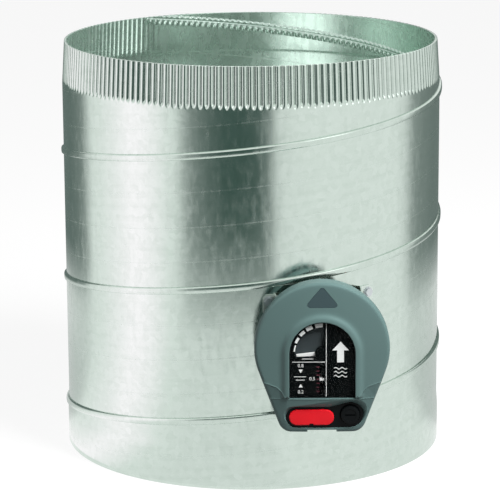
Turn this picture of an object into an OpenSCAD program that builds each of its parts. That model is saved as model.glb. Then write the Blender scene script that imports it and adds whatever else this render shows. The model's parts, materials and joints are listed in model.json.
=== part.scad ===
// Pressure regulating damper for a round spiral duct.
// The origin is on the duct axis at the bottom rim. +Z is up, the way the air flows,
// and the control box stands out on the -Y side. All sizes are in millimetres.

/* [Duct] */
// Outer radius of the duct
duct_r = 177.8; // [172:0.1:190]
// Height of the damper from rim to rim
duct_h = 386.8; // [384:0.1:440]
// Thickness of the duct sheet
duct_wall = 0.8; // [0.6:0.1:1]
// How far the sized lower end's bore is wider than the duct's outside, to slip over the next crimped end
socket_play = 0.1; // [0.1:0.1:1]
// Length of the sized lower end
socket_len = 38; // [25:1:50]
// Length over which the sized end runs into the tube
socket_step = 1.5; // [1:0.1:4]

/* [Lock seam] */
// Rise of the seam in one turn
seam_pitch = 122.1; // [110:0.1:135]
// Height of the lowest full turn where it crosses the -X side
seam_left_z = 37.5; // [20:0.1:60]
// Width of the folded seam at the sheet
seam_w = 6.4; // [5:0.1:8]
// How far the seam stands out of the sheet
seam_rise = 2.2; // [1.5:0.1:2.6]
// Width lost by each flank of the seam
seam_flank = 1.1; // [0.5:0.1:2]

/* [Crimped end] */
// Length of the crimped upper end
crimp_len = 40; // [25:1:45]
// How far the crimped end draws in, from the duct's outside to the rim
crimp_taper = 2.5; // [1.5:0.1:3.5]
// Depth of a crimp at the rim
crimp_depth = 1.7; // [1:0.1:2.5]
// Number of crimps round the rim
crimp_count = 184; // [120:2:200]

/* [Blade] */
// Space between the blade's round edge and the duct's bore
blade_edge_gap = 2; // [1:0.1:6]
// Thickness of the blade sheet
blade_t = 1.5; // [1:0.1:2.5]
// Space left between the trimmed blade sides and the duct when the blade is open
blade_side_gap = 2.2; // [1.5:0.1:6]
// Radius of the two pressed stiffening beads
bead_r = 3; // [2:0.5:5]
// Distance between the beads, and from the shaft to the first one
bead_step = 62; // [50:1:70]
// Reach of the notches that clear the bushings, measured from the duct wall
notch_reach = 26; // [24:1:34]
// Width of each bushing notch
notch_w = 24; // [22:1:30]

/* [Shaft] */
// Distance of the shaft from the duct axis, along X
shaft_x = 61.4; // [56:0.1:66]
// Height of the shaft
shaft_z = 136; // [130:0.1:142]
// Radius of the shaft
shaft_r = 4.75; // [4:0.05:5.5]
// How far the shaft stands out behind the rear bushing
shaft_tail = 5; // [4:0.5:10]
// Outer radius of the shaft bushings
bushing_r = 8; // [7:0.1:9]
// Radius of the front bushing's flange, which lies on the duct
flange_r = 14; // [12:0.5:18]
// Radius of the rear bushing's flange, which lies above the seam
rear_flange_r = 10.2; // [9:0.1:10.4]
// Thickness of the bushing flanges
flange_t = 2.4; // [1.5:0.1:3]
// Reach of a bushing into the duct, from the wall at the shaft
bushing_reach = 17; // [12:0.5:18]
// Outer radius of the shaft collars
collar_r = 9.5; // [8:0.1:10.5]
// Width of a shaft collar
collar_w = 7; // [6:0.5:8]

/* [Blade straps] */
// Thickness of the strap sheet
strap_t = 1.5; // [1:0.1:2]
// Width of a strap along the shaft
strap_w = 22; // [16:1:30]
// Space between an outer strap and the shaft collar beside it
strap_gap = 31.5; // [8:0.5:45]
// Distance of the strap screws from the shaft axis
strap_screw_x = 13; // [12.5:0.1:15]
// Radius of the strap screws
strap_screw_r = 2.5; // [2:0.1:3]

/* [Blade stops] */
// Width of the stop ledge
seat_w = 16; // [14.5:0.5:20]
// Height of the stop's leg along the wall
seat_leg = 13.5; // [8:0.5:16]
// Thickness of the stop angle
seat_t = 1.5; // [1:0.1:2]
// Thickness of the foam strip on a stop
foam_t = 1.5; // [1:0.1:2]
// Where the stops end, short of the shaft
seat_end = 15; // [13:0.5:20]

/* [Control box] */
// Space between the bracket plate and the front of the duct
box_standoff = 3.2; // [3:0.1:8]
// Height of the centre of the round part of the box
box_z = 140; // [138:0.1:144]
// Radius of the round part of the box
box_r = 60; // [58:0.1:64]
// Half the distance between the centres of the box's lower corners
box_foot = 27.2; // [25:0.1:32]
// Height of the bottom of the box
box_bottom = 62.4; // [62:0.1:66]
// Radius of the lower corners
box_corner_r = 12; // [10:0.5:14]
// Depth of the box from the bracket plate to the face
box_depth = 29.8; // [29.8:0.1:34]
// Depth of the base half
base_depth = 15.8; // [14:0.1:17]
// Wall of the base and of the cover
box_wall = 2.2; // [1.6:0.1:2.4]
// Thickness of the base's floor
base_floor = 2.5; // [2.2:0.1:3]
// How far the base lies inside the cover's outline
base_inset = 2.6; // [2.5:0.1:3.4]
// How far the cover's skirt reaches over the base
skirt_lap = 1.5; // [1:0.1:3]
// Depth of the rounding at the face's edge
edge_round = 3; // [1.5:0.1:4]
// Height of the crease above the chin
crease_z = 94.7; // [93:0.1:98]
// Backward slope of the chin
chin_tilt = 9.6; // [6:0.1:11]
// Width of the notch under the chin
chin_notch_w = 26; // [20:1:30]
// Height of the notch under the chin
chin_notch_h = 2.7; // [2:0.1:3.5]

/* [Window] */
// Height of the window's sill above the crease
window_sill = 0.8; // [0.5:0.1:1.2]
// Radius of the window's arch, about the shaft
window_r = 29.2; // [28:0.1:31]
// Width of the raised bezel round the window
bezel_w = 5; // [3:0.1:6]
// How far the bezel stands out of the face
bezel_rise = 2.5; // [1:0.1:3]
// Thickness of the clear window
lens_t = 2; // [1.5:0.1:2.1]
// Thickness of the dial plate
dial_t = 1; // [0.8:0.1:1.2]
// Outer radius of the fan-shaped opening in the dial plate
fan_r = 23.8; // [23.4:0.1:24.4]
// Inner radius of the fan-shaped opening in the dial plate
fan_inner_r = 6.4; // [6:0.1:7]
// Lip by which the dial plate overlaps the window opening
dial_lip = 2; // [1.5:0.1:3]

/* [Badge, knob and arrow] */
// Place of the badge's centre, from the shaft along X
badge_x = -9.4; // [-11:0.1:-8]
// Height of the badge's centre
badge_z = 76.7; // [75:0.1:80]
// Width of the badge
badge_w = 40; // [34:0.5:42]
// Height of the badge
badge_h = 14.4; // [12:0.1:15]
// Thickness of the badge
badge_t = 2.2; // [1.5:0.1:2.4]
// Dark rim shown round the badge
fascia_rim = 2.3; // [1.5:0.1:2.5]
// Place of the knob's centre, from the shaft along X
knob_x = 24.8; // [24.4:0.1:25.2]
// Height of the knob's centre
knob_z = 79.2; // [78:0.1:82]
// Radius of the dark recess round the knob
recess_r = 11.5; // [11:0.1:12]
// Radius of the knob
knob_r = 8.6; // [7.5:0.1:9]
// Length of the knob
knob_len = 12.5; // [10:0.1:13]
// Number of grip flutes in the knob's rim
flute_count = 24; // [16:1:30]
// Radius of a grip flute
flute_r = 0.6; // [0.4:0.1:0.8]
// Width of the lift arrow
arrow_w = 26.4; // [24:0.1:28]
// Height of the lift arrow
arrow_h = 17.9; // [16:0.1:18]
// Space between the box's top and the arrow's tip
arrow_margin = 4.2; // [4:0.1:6]
// Radius of the lift arrow's corners
arrow_corner = 2.4; // [1.5:0.1:3]
// Thickness of the lift arrow's inlay
arrow_t = 0.8; // [0.5:0.1:1.2]

/* [Set-point drive] */
// Module of the gears and the rack
gear_module = 0.6; // [0.59:0.01:0.61]
// Teeth of the gear on the knob's spindle
knob_teeth = 16; // [16:1:16]
// Teeth of the idler gear
idler_teeth = 44; // [44:1:44]
// Thickness of the gears and the rack
gear_t = 5; // [4:0.1:5.5]
// Thinning of each tooth at the pitch line
tooth_play = 0.12; // [0.08:0.01:0.16]
// Radius of the knob's spindle
spindle_r = 3; // [2.5:0.1:3.2]
// Radius of the idler's pin
idler_pin_r = 2; // [1.5:0.1:2.5]
// Height of the set-point mark at the middle of its scale
mark_z = 112; // [111:0.1:115]
// Travel of the set-point mark each way
mark_travel = 11.2; // [10:0.1:11.4]
// Width of the set-point mark
mark_w = 4.4; // [3:0.1:4.6]
// Height of the set-point mark
mark_h = 2; // [1.5:0.1:2.4]

/* [Tension spring] */
// Mean radius of the coil
coil_r = 2.6; // [2.2:0.1:2.8]
// Radius of the wire
wire_r = 0.5; // [0.4:0.05:0.6]
// Whole curls in the coil
curl_count = 14; // [8:1:16]
// Rise of each curl
curl_pitch = 2; // [1.8:0.1:2.3]
// Radius of the pins that hold the hooks
spring_pin_r = 1.4; // [1.2:0.1:1.5]
// Distance of the crank pin from the shaft
crank_len = 11; // [10:0.1:11.5]

/* [Mounting bracket] */
// Thickness of the bracket sheet
bracket_t = 1.2; // [1:0.1:1.6]
// Left edge of the bracket plate, from the shaft
leg_left = 41.4; // [40:0.1:44]
// Right edge of the bracket plate, from the shaft
leg_right = 37; // [36:0.1:40]
// Width of each ear that lies on the duct
ear_w = 10.5; // [9:0.1:12]
// Height of the ears' lower end
ear_bottom = 104; // [100:1:110]
// Height of the ears' upper end
ear_top = 182; // [178:0.5:184]
// Radius of the ears' outer corners
ear_corner = 4.5; // [3:0.1:5]
// Radius of the bracket screws
ear_screw_r = 2; // [1.5:0.1:2.4]

/* [Hidden] */
$fn = 96;

// Overrun of every cut
cut = 1;
// Space between pieces that are fixed face to face on a curved wall
seat_gap = 0.05;
// Radial play of a shaft in its bearing
bearing_play = 0.05;
// Radial space round a fixed shank
shank_play = 0.02;
// Space between pieces that pass each other
pass_gap = 0.3;
// Radial space round a bushing or spindle that passes through a sheet
hole_gap = 0.3;

// Duct values
bore_r = duct_r - duct_wall;
socket_r = duct_r + socket_play;
crimp_rim_r = duct_r - crimp_taper;
socket_out_r = socket_r + duct_wall;
crimp_z = duct_h - crimp_len;
wall_at_shaft = sqrt(duct_r * duct_r - shaft_x * shaft_x);
bore_at_shaft = sqrt(bore_r * bore_r - shaft_x * shaft_x);

// Blade values
blade_r = bore_r - blade_edge_gap;
blade_top = shaft_z - shaft_r;
blade_bottom = blade_top - blade_t;
blade_half_y = bore_at_shaft - blade_side_gap;
bushing_end = wall_at_shaft - bushing_reach;
rear_end = wall_at_shaft + 9.6;
collar_back = bushing_end - pass_gap;
strap_step = collar_back - collar_w - strap_gap - strap_w / 2;
strap_head_r = 4.2;
strap_head_h = 3;
strap_nut_r = 4.6;
strap_nut_h = 4;
cap_r = 7.5;
cap_t = 2;

// Distances out from the duct axis, in the order of the box's layers
plate_back = duct_r + box_standoff;
plate_front = plate_back + bracket_t;
floor_front = plate_front + base_floor;
mech_back = floor_front + pass_gap;
mech_front = mech_back + gear_t;
base_front = plate_front + base_depth;
face_d = plate_front + box_depth;
cover_back = base_front - skirt_lap;
dial_front = face_d - box_wall - 0.1;
dial_back = dial_front - dial_t;
pointer_t = 1.2;
pointer_back = dial_back - 1.3 - pointer_t;
spring_d = mech_front + 7;
pin_front = spring_d + 1.5;

window_bottom = crease_z + window_sill;

// Outline of the box
corner_z = box_bottom + box_corner_r;
box_taper = atan2(box_z - corner_z, box_foot) - acos((box_r - box_corner_r) / norm([box_z - corner_z, box_foot]));
arrow_z = box_z + box_r - arrow_margin - arrow_h;

// Gears and rack
pressure_angle = 20;
addendum = 0.85 * gear_module;
dedendum = 1.1 * gear_module;
knob_pitch_r = knob_teeth * gear_module / 2;
idler_pitch_r = idler_teeth * gear_module / 2;
rack_x = shaft_x + 0.6;
idler_x = rack_x + idler_pitch_r;
idler_drop = sqrt(pow(knob_pitch_r + idler_pitch_r, 2) - pow(shaft_x + knob_x - idler_x, 2));
idler_z = knob_z + idler_drop;
tooth_pitch = PI * gear_module;
rack_back_x = rack_x - 6.2;
rack_bottom = idler_z - 14;
rack_top = idler_z + 17;
anchor_x = rack_x - 3;
anchor_z = rack_bottom + 3;
crank_angle = 225;
crank_pin_x = shaft_x + crank_len * cos(crank_angle);
crank_pin_z = shaft_z + crank_len * sin(crank_angle);
keeper_t = 1;
rib_w = 5.5;
rib_left = rack_back_x - pass_gap - rib_w;
rib_bottom = rack_bottom - 9;
rib_top = rack_top + 8;
post_r = 3;
small_screw_r = 1;
small_head_r = 2;
small_head_h = 1.2;
post_points = [[idler_x + 18.3, idler_z - 2], [idler_x - 5.2, idler_z - 17.6]];
keeper_points = [[rib_left + 2.4, rib_bottom + 4], [rib_left + 2.4, rib_top - 4]];
base_screw_points = [[shaft_x - 34, box_z + 21], [shaft_x + 34, box_z + 21], [shaft_x - 22, corner_z + 8]];
base_screw_r = 1.8;
base_head_r = 3.4;
base_head_h = 2;

// Unit of degrees in one radian
degree = 180 / PI;

// Draws an outline in X and Z as a plate that starts d out from the duct axis
module plate_at(d, t) {
    translate([0, -d, 0]) rotate([90, 0, 0]) linear_extrude(t) children();
}

// A round pin along the shaft's direction, starting d out from the duct axis
module pin_at(x, z, d, t, r) {
    translate([x, -d, z]) rotate([90, 0, 0]) cylinder(h = t, r = r);
}

// A ring about the duct axis
module ring(inner, outer, bottom, top) {
    difference() {
        translate([0, 0, bottom]) cylinder(h = top - bottom, r = outer, $fn = 180);
        translate([0, 0, bottom - cut]) cylinder(h = top - bottom + 2 * cut, r = inner, $fn = 180);
    }
}

// A rectangle with rounded corners, from one corner to the other
module soft_rect(low, high, r) {
    translate([low.x + r, low.y]) square([high.x - low.x - 2 * r, high.y - low.y]);
    translate([low.x, low.y + r]) square([high.x - low.x, high.y - low.y - 2 * r]);
    for (x = [low.x + r, high.x - r], z = [low.y + r, high.y - r]) translate([x, z]) circle(r = r);
}

// Faces of a tube that is swept through rings of points, closed at both ends
function tube_faces(rings, sides) = concat(
    [for (i = [0 : rings - 2], j = [0 : sides - 1])
        each [[i * sides + j, (i + 1) * sides + (j + 1) % sides, i * sides + (j + 1) % sides],
            [i * sides + j, (i + 1) * sides + j, (i + 1) * sides + (j + 1) % sides]]],
    [for (j = [1 : sides - 2]) [0, j, j + 1]],
    [for (j = [1 : sides - 2]) [(rings - 1) * sides, (rings - 1) * sides + j + 1, (rings - 1) * sides + j]]);

// The duct

module duct_tube() {
    color("gainsboro") difference() {
        rotate_extrude($fn = 180) polygon([
            [socket_r, 0], [socket_out_r, 0], [socket_out_r, socket_len],
            [duct_r, socket_len + socket_step], [duct_r, crimp_z],
            [bore_r, crimp_z], [bore_r, socket_len + socket_step], [socket_r, socket_len]]);
        pin_at(shaft_x, shaft_z, -duct_r - cut, 2 * (duct_r + cut), bushing_r + hole_gap);
        ear_screws(0, duct_r + cut, ear_screw_r + shank_play);
    }
}

// The folded seam, as a flat-topped ridge that climbs round the tube
seam_steps = 72;
seam_bottom_z = seam_w / 2;
seam_top_z = crimp_z - seam_w / 2;
seam_lift = 0.2;
seam_rings = floor(seam_steps * (seam_top_z - seam_bottom_z) / seam_pitch);
function seam_base(z) = (z - seam_w / 2 < socket_len + socket_step ? socket_out_r : duct_r) + seam_lift;
function seam_point(a, r, z) = [r * cos(a), r * sin(a), z];
module lock_seam() {
    points = [for (i = [0 : seam_rings]) let (
            z = seam_bottom_z + i * seam_pitch / seam_steps,
            a = -180 + 360 * (z - seam_left_z) / seam_pitch,
            r = seam_base(z),
            top = seam_w / 2 - seam_flank)
        each [seam_point(a, r, z - seam_w / 2), seam_point(a, r + seam_rise, z - top),
            seam_point(a, r + seam_rise, z + top), seam_point(a, r, z + seam_w / 2)]];
    color("silver") polyhedron(points, tube_faces(seam_rings + 1, 4));
}

// The crimped end, whose grooves run out to nothing at the tube
module crimped_end() {
    columns = 2 * crimp_count;
    function ring_r(j, inner, rim) =
        (rim ? crimp_rim_r - (j % 2) * crimp_depth : duct_r) - (inner ? duct_wall : 0);
    function row(inner, rim) = [for (j = [0 : columns - 1])
        seam_point(j * 360 / columns, ring_r(j, inner, rim), rim ? duct_h : crimp_z)];
    // The rows run up the outside and down the inside
    points = concat(row(false, false), row(false, true), row(true, true), row(true, false));
    faces = [for (k = [0 : 3], j = [0 : columns - 1]) let (
            low = k * columns,
            high = ((k + 1) % 4) * columns,
            next = (j + 1) % columns)
        each [[low + j, high + next, low + next], [low + j, high + j, high + next]]];
    color("gainsboro") polyhedron(points, faces);
}

// The blade stops

module seat(ledge_z, leg_z) {
    low = min(ledge_z, leg_z);
    high = max(ledge_z, leg_z);
    ledge_low = ledge_z == low ? low : high - seat_t;
    ring(bore_r - seat_w, bore_r - seat_gap, ledge_low, ledge_low + seat_t);
    ring(bore_r - seat_gap - seat_t, bore_r - seat_gap, low, high);
}

// Keeps what lies on one side of the shaft
module beside_shaft(side) {
    intersection() {
        children();
        translate([shaft_x + side * seat_end - (side < 0 ? 2 * duct_r : 0), -duct_r, 0])
            cube([2 * duct_r, 2 * duct_r, duct_h]);
    }
}

lower_foam_top = blade_bottom - pass_gap;
upper_foam_bottom = blade_top + pass_gap;

module lower_seat() {
    color("silver") beside_shaft(-1) seat(lower_foam_top - foam_t, lower_foam_top - foam_t - seat_leg);
}

module upper_seat() {
    color("silver") beside_shaft(1) seat(upper_foam_bottom + foam_t, upper_foam_bottom + foam_t + seat_leg);
}

module lower_seat_gasket() {
    color("dimgray") beside_shaft(-1)
        ring(bore_r - seat_w + seat_t, bore_r - seat_t, lower_foam_top - foam_t, lower_foam_top);
}

module upper_seat_gasket() {
    color("dimgray") beside_shaft(1)
        ring(bore_r - seat_w + seat_t, bore_r - seat_t, upper_foam_bottom, upper_foam_bottom + foam_t);
}

// Bushings: side is 1 for the front, towards -Y, and -1 for the rear
module bushing(side, outer_end, lip_r) {
    color("ivory") difference() {
        union() {
            if (side > 0) pin_at(shaft_x, shaft_z, bushing_end, outer_end - bushing_end, bushing_r);
            if (side < 0) pin_at(shaft_x, shaft_z, -outer_end, outer_end - bushing_end, bushing_r);
            intersection() {
                ring(duct_r + seat_gap, duct_r + seat_gap + flange_t, shaft_z - 2 * lip_r, shaft_z + 2 * lip_r);
                pin_at(shaft_x, shaft_z, side > 0 ? 0 : -2 * duct_r, 2 * duct_r, lip_r);
            }
        }
        pin_at(shaft_x, shaft_z, -2 * duct_r, 4 * duct_r, shaft_r + bearing_play);
    }
}

module front_bushing() {
    bushing(1, floor_front, flange_r);
}

module rear_bushing() {
    bushing(-1, rear_end, rear_flange_r);
}

// The bracket

module ear_screws(from, to, r) {
    for (x = ear_screw_xs, z = [ear_bottom + ear_screw_in, ear_top - ear_screw_in])
        rotate([0, 0, asin(x / duct_r)]) translate([0, -from, z]) rotate([90, 0, 0]) cylinder(h = to - from, r = r);
}
ear_screw_in = 6;
ear_screw_xs = [shaft_x - leg_left - ear_w / 2, shaft_x + leg_right + ear_w / 2];

module mounting_bracket() {
    left = shaft_x - leg_left;
    right = shaft_x + leg_right;
    color("gainsboro") difference() {
        union() {
            plate_at(plate_back, bracket_t) {
                translate([left, ear_bottom]) square([right - left, ear_top - ear_bottom]);
                translate([shaft_x - 31, box_bottom + 14]) square([62, ear_top - box_bottom - 14]);
            }
            // Each leg runs back to the duct, and the larger cylinder below trims it
            for (x = [left, right - bracket_t])
                translate([x, -plate_front, ear_bottom]) cube([bracket_t, plate_front, ear_top - ear_bottom]);
            intersection() {
                ring(duct_r + seat_gap, duct_r + seat_gap + bracket_t, ear_bottom, ear_top);
                plate_at(0, plate_back) {
                    soft_rect([left - ear_w, ear_bottom], [left + 2 * ear_corner, ear_top], ear_corner);
                    soft_rect([right - 2 * ear_corner, ear_bottom], [right + ear_w, ear_top], ear_corner);
                }
            }
        }
        translate([0, 0, ear_bottom - cut])
            cylinder(h = ear_top - ear_bottom + 2 * cut, r = duct_r + seat_gap, $fn = 180);
        // Clear the sheet between the legs, behind the plate
        translate([left + bracket_t, -plate_back, ear_bottom - cut])
            cube([right - left - 2 * bracket_t, plate_back, ear_top - ear_bottom + 2 * cut]);
        pin_at(shaft_x, shaft_z, plate_back - cut, bracket_t + 2 * cut, bushing_r + hole_gap);
        ear_screws(duct_r - cut, plate_front, ear_screw_r + shank_play);
        for (p = base_screw_points)
            pin_at(p.x, p.y, plate_back - cut, bracket_t + 2 * cut, base_screw_r + shank_play);
    }
}

screw_head_r = 3.8;
screw_head_h = 2.6;
module bracket_screws() {
    seat = duct_r + seat_gap + bracket_t;
    color("silver") {
        ear_screws(duct_r - 5, seat, ear_screw_r);
        ear_screws(seat, seat + 0.8, screw_head_r + 0.8);
        ear_screws(seat + 0.8, seat + screw_head_h, screw_head_r, $fn = 6);
    }
}

// The base of the control box

// The sides stand sink inside the round parts, so that each meets them at a clear edge
sink = 0.02;
module box_outline(inset) {
    corner = box_corner_r - inset;
    round_r = box_r - inset;
    translate([shaft_x, box_z]) circle(r = round_r);
    for (side = [-1, 1]) translate([shaft_x + side * box_foot, corner_z]) circle(r = corner);
    translate([shaft_x, 0]) polygon([for (side = [-1, 1], step = [0 : 2]) let (
            k = side < 0 ? step : 2 - step,
            at_top = [side * (round_r - sink) * cos(box_taper), box_z - (round_r - sink) * sin(box_taper)],
            at_corner = [side * (box_foot + (corner - sink) * cos(box_taper)), corner_z - (corner - sink) * sin(box_taper)],
            at_bottom = [side * box_foot, corner_z - corner + sink])
        [at_top, at_corner, at_bottom][k]]);
}

module base_housing() {
    color("dimgray") difference() {
        union() {
            difference() {
                plate_at(plate_front, base_depth) box_outline(base_inset);
                plate_at(floor_front, base_depth) box_outline(base_inset + box_wall);
            }
            // Rib that guides the carriage, and posts for the gear retainer
            plate_at(plate_front, mech_front + pass_gap - plate_front)
                translate([rib_left, rib_bottom]) square([rib_w, rib_top - rib_bottom]);
            for (p = post_points)
                pin_at(p.x, p.y, plate_front, mech_front + pass_gap - plate_front, post_r);
        }
        pin_at(shaft_x, shaft_z, plate_front - cut, base_depth, bushing_r + hole_gap);
        for (p = base_screw_points)
            pin_at(p.x, p.y, plate_front - cut, base_depth, base_screw_r + shank_play);
        for (p = concat(post_points, keeper_points))
            pin_at(p.x, p.y, plate_front + cut, base_depth, small_screw_r + shank_play);
        pin_at(idler_x, idler_z, plate_front + cut, base_depth, idler_pin_r + shank_play);
        pin_at(shaft_x + knob_x, knob_z, plate_front + pass_gap, base_depth, spindle_r + bearing_play);
    }
}

module base_screws() {
    color("silver") for (p = base_screw_points) {
        pin_at(p.x, p.y, plate_back - 2, floor_front - plate_back + 2, base_screw_r);
        pin_at(p.x, p.y, floor_front, base_head_h, base_head_r);
    }
}

keeper_back = mech_front + pass_gap;
module carriage_keeper() {
    color("silver") difference() {
        plate_at(keeper_back, keeper_t)
            translate([rib_left, rib_bottom]) square([rib_w + pass_gap + 1.2, rib_top - rib_bottom]);
        for (p = keeper_points) pin_at(p.x, p.y, mech_front, 2 * keeper_t + pass_gap, small_screw_r + shank_play);
    }
}

module gear_retainer() {
    knob_p = [shaft_x + knob_x, knob_z];
    idler_p = [idler_x, idler_z];
    color("silver") difference() {
        plate_at(keeper_back, keeper_t) {
            polygon([idler_p, post_points[1], knob_p, post_points[0]]);
            for (p = post_points) translate(p) circle(r = post_r);
            translate(knob_p) circle(r = 2 * spindle_r);
            translate(idler_p) circle(r = 2 * idler_pin_r);
        }
        pin_at(knob_p.x, knob_p.y, mech_front, 2 * keeper_t + pass_gap, spindle_r + hole_gap);
        for (p = post_points) pin_at(p.x, p.y, mech_front, 2 * keeper_t + pass_gap, small_screw_r + shank_play);
    }
}

module small_screws() {
    color("silver") for (p = concat(post_points, keeper_points)) {
        pin_at(p.x, p.y, mech_back, keeper_back + keeper_t - mech_back, small_screw_r);
        pin_at(p.x, p.y, keeper_back + keeper_t, small_head_h, small_head_r);
    }
}

module idler_pin() {
    color("silver") pin_at(idler_x, idler_z, plate_front + cut, keeper_back - plate_front - cut, idler_pin_r);
}

// The dark plate behind the pointer, on two posts that stand on the base's floor
inner_dial_front = pointer_back - 0.8;
inner_dial_r = fan_r + 3;
inner_post_r = 2;
inner_post_shares = [[-0.92, 0.2], [0.14, 0.92]];
module inner_dial() {
    color([0.16, 0.18, 0.19]) {
        difference() {
            plate_at(inner_dial_front - dial_t, dial_t) translate([shaft_x, shaft_z]) intersection() {
                circle(r = inner_dial_r);
                translate([-inner_dial_r, -pointer_root_h]) square([inner_dial_r + bushing_r, inner_dial_r + pointer_root_h]);
            }
            pin_at(shaft_x, shaft_z, inner_dial_front - 2 * dial_t, 3 * dial_t, shaft_r + hole_gap);
        }
        for (p = inner_post_shares) pin_at(shaft_x + p.x * inner_dial_r, shaft_z + p.y * inner_dial_r,
            floor_front, inner_dial_front - dial_t / 2 - floor_front, inner_post_r);
    }
}

// The tension spring, drawn along Z from the anchor pin and then leant to the crank pin
hook_r = spring_pin_r + wire_r + pass_gap;
hook_steps = 10;
curl_steps = 8;
spring_sides = 6;
bend_r = 1.2;
bend_steps = 3;
bend_angle = 75;
pin_span = sqrt(pow(crank_pin_x - anchor_x, 2) + pow(crank_pin_z - anchor_z, 2));
spring_lean = atan2(crank_pin_x - anchor_x, crank_pin_z - anchor_z);
coil_h = (curl_count + 0.5) * curl_pitch;
coil_bottom = (pin_span - coil_h) / 2;
bend_turn = bend_r * (1 - cos(bend_angle)) / coil_r * degree;
bend_h = bend_r * sin(bend_angle);
// Each entry is a point of the wire's centre line and the outward direction there
function hook_entry(a, z) = [[hook_r * cos(a), 0, z + hook_r * sin(a)], [cos(a), 0, sin(a)]];
function coil_entry(a, z) = [[coil_r * cos(a), coil_r * sin(a), z], [cos(a), sin(a), 0]];
lower_hook = [for (k = [0 : hook_steps]) hook_entry(60 - 240 * k / hook_steps, 0)];
upper_hook = [for (k = [0 : hook_steps]) hook_entry(240 * k / hook_steps, pin_span)];
lower_bend = [for (k = [0 : bend_steps - 1]) let (b = bend_angle * k / bend_steps)
    coil_entry(180 + bend_r * (1 - cos(b)) / coil_r * degree, coil_bottom - bend_h + bend_r * sin(b))];
upper_bend = [for (k = [bend_steps - 1 : -1 : 0]) let (b = bend_angle * k / bend_steps)
    coil_entry(-bend_r * (1 - cos(b)) / coil_r * degree, coil_bottom + coil_h + bend_h - bend_r * sin(b))];
coil_rings = floor((curl_count + 0.5) * curl_steps);
coil_sweep = (curl_count + 0.5) * 360 - 2 * bend_turn;
coil = [for (k = [0 : coil_rings])
    coil_entry(180 + bend_turn + coil_sweep * k / coil_rings, coil_bottom + coil_h * k / coil_rings)];
spring_line = concat(lower_hook, lower_bend, coil, upper_bend, upper_hook);
function unit(v) = v / norm(v);
function spring_ring(i) = let (
        last = len(spring_line) - 1,
        along = unit(spring_line[min(i + 1, last)][0] - spring_line[max(i - 1, 0)][0]),
        side = unit(cross(along, spring_line[i][1])),
        out = cross(side, along))
    [for (j = [0 : spring_sides - 1])
        spring_line[i][0] + wire_r * (out * cos(360 * j / spring_sides) + side * sin(360 * j / spring_sides))];
// The least space between two stretches of the wire that aren't neighbours on it
spring_gap = min([for (i = [0 : len(spring_line) - 1], j = [0 : len(spring_line) - 1])
    if (j - i >= curl_steps / 2) norm(spring_line[i][0] - spring_line[j][0]) - 2 * wire_r]);
echo(spring_least_gap_mm = spring_gap);
module tension_spring() {
    rings = len(spring_line);
    points = [for (i = [0 : rings - 1]) each spring_ring(i)];
    color("silver") translate([anchor_x, -spring_d, anchor_z]) rotate([0, spring_lean, 0])
        polyhedron(points, tube_faces(rings, spring_sides));
}

// The blade and what turns with it

module blade() {
    color("gainsboro") difference() {
        union() {
            intersection() {
                translate([0, 0, blade_bottom]) cylinder(h = blade_t, r = blade_r, $fn = 180);
                translate([-blade_r, -blade_half_y, blade_bottom - cut])
                    cube([2 * blade_r, 2 * blade_half_y, blade_t + 2 * cut]);
            }
            for (k = [1, 2]) intersection() {
                translate([shaft_x - k * bead_step, blade_half_y - 2 * seat_w, blade_top])
                    rotate([90, 0, 0]) cylinder(h = 2 * blade_half_y - 4 * seat_w, r = bead_r);
                translate([-blade_r, -blade_half_y, blade_bottom])
                    cube([2 * blade_r, 2 * blade_half_y, blade_t + bead_r]);
            }
        }
        for (side = [-1, 1]) translate([shaft_x - notch_w / 2,
                side > 0 ? wall_at_shaft - notch_reach : -duct_r - wall_at_shaft + notch_reach, blade_bottom - cut])
            cube([notch_w, duct_r, blade_t + 2 * cut]);
        strap_holes(blade_bottom - cut, blade_top + cut, strap_screw_r + shank_play);
    }
}

module strap_holes(bottom, top, r) {
    for (k = [-1, 0, 1], side = [-1, 1])
        translate([shaft_x + side * strap_screw_x, k * strap_step, bottom]) cylinder(h = top - bottom, r = r);
}

module shaft() {
    color("silver") pin_at(shaft_x, shaft_z, -rear_end - shaft_tail, rear_end + shaft_tail + pointer_back, shaft_r);
}

module blade_straps() {
    reach = strap_screw_x + strap_head_r + strap_t;
    inner = shaft_r + shank_play;
    outer = inner + strap_t;
    color("silver") difference() {
        for (k = [-1, 0, 1]) translate([shaft_x, k * strap_step + strap_w / 2, shaft_z])
            rotate([90, 0, 0]) linear_extrude(strap_w) difference() {
                union() {
                    circle(r = outer);
                    translate([-outer, -shaft_r]) square([2 * outer, shaft_r]);
                    translate([-reach, -shaft_r]) square([2 * reach, strap_t]);
                }
                circle(r = inner);
                translate([-inner, -shaft_r - cut]) square([2 * inner, shaft_r + cut]);
                translate([-outer - cut, -shaft_r - outer]) square([2 * (outer + cut), outer]);
            }
        strap_holes(blade_top - cut, blade_top + strap_t + cut, strap_screw_r + shank_play);
    }
}

module strap_screws() {
    color("silver") {
        strap_holes(blade_bottom - strap_nut_h - cut, blade_top + strap_t, strap_screw_r);
        strap_holes(blade_top + strap_t, blade_top + strap_t + strap_head_h, strap_head_r);
    }
}

module strap_nuts() {
    color("silver") difference() {
        strap_holes(blade_bottom - strap_nut_h, blade_bottom, strap_nut_r, $fn = 6);
        strap_holes(blade_bottom - strap_nut_h - cut, blade_bottom + cut, strap_screw_r + shank_play);
    }
}

module shaft_collars() {
    color("silver") difference() {
        for (d = [collar_back - collar_w, -collar_back]) pin_at(shaft_x, shaft_z, d, collar_w, collar_r);
        pin_at(shaft_x, shaft_z, -duct_r, 2 * duct_r, shaft_r + shank_play);
    }
}

module shaft_end_cap() {
    color("black") difference() {
        pin_at(shaft_x, shaft_z, -rear_end - pass_gap - cap_t, cap_t, cap_r);
        pin_at(shaft_x, shaft_z, -rear_end - shaft_tail, shaft_tail, shaft_r + shank_play);
    }
}

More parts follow.
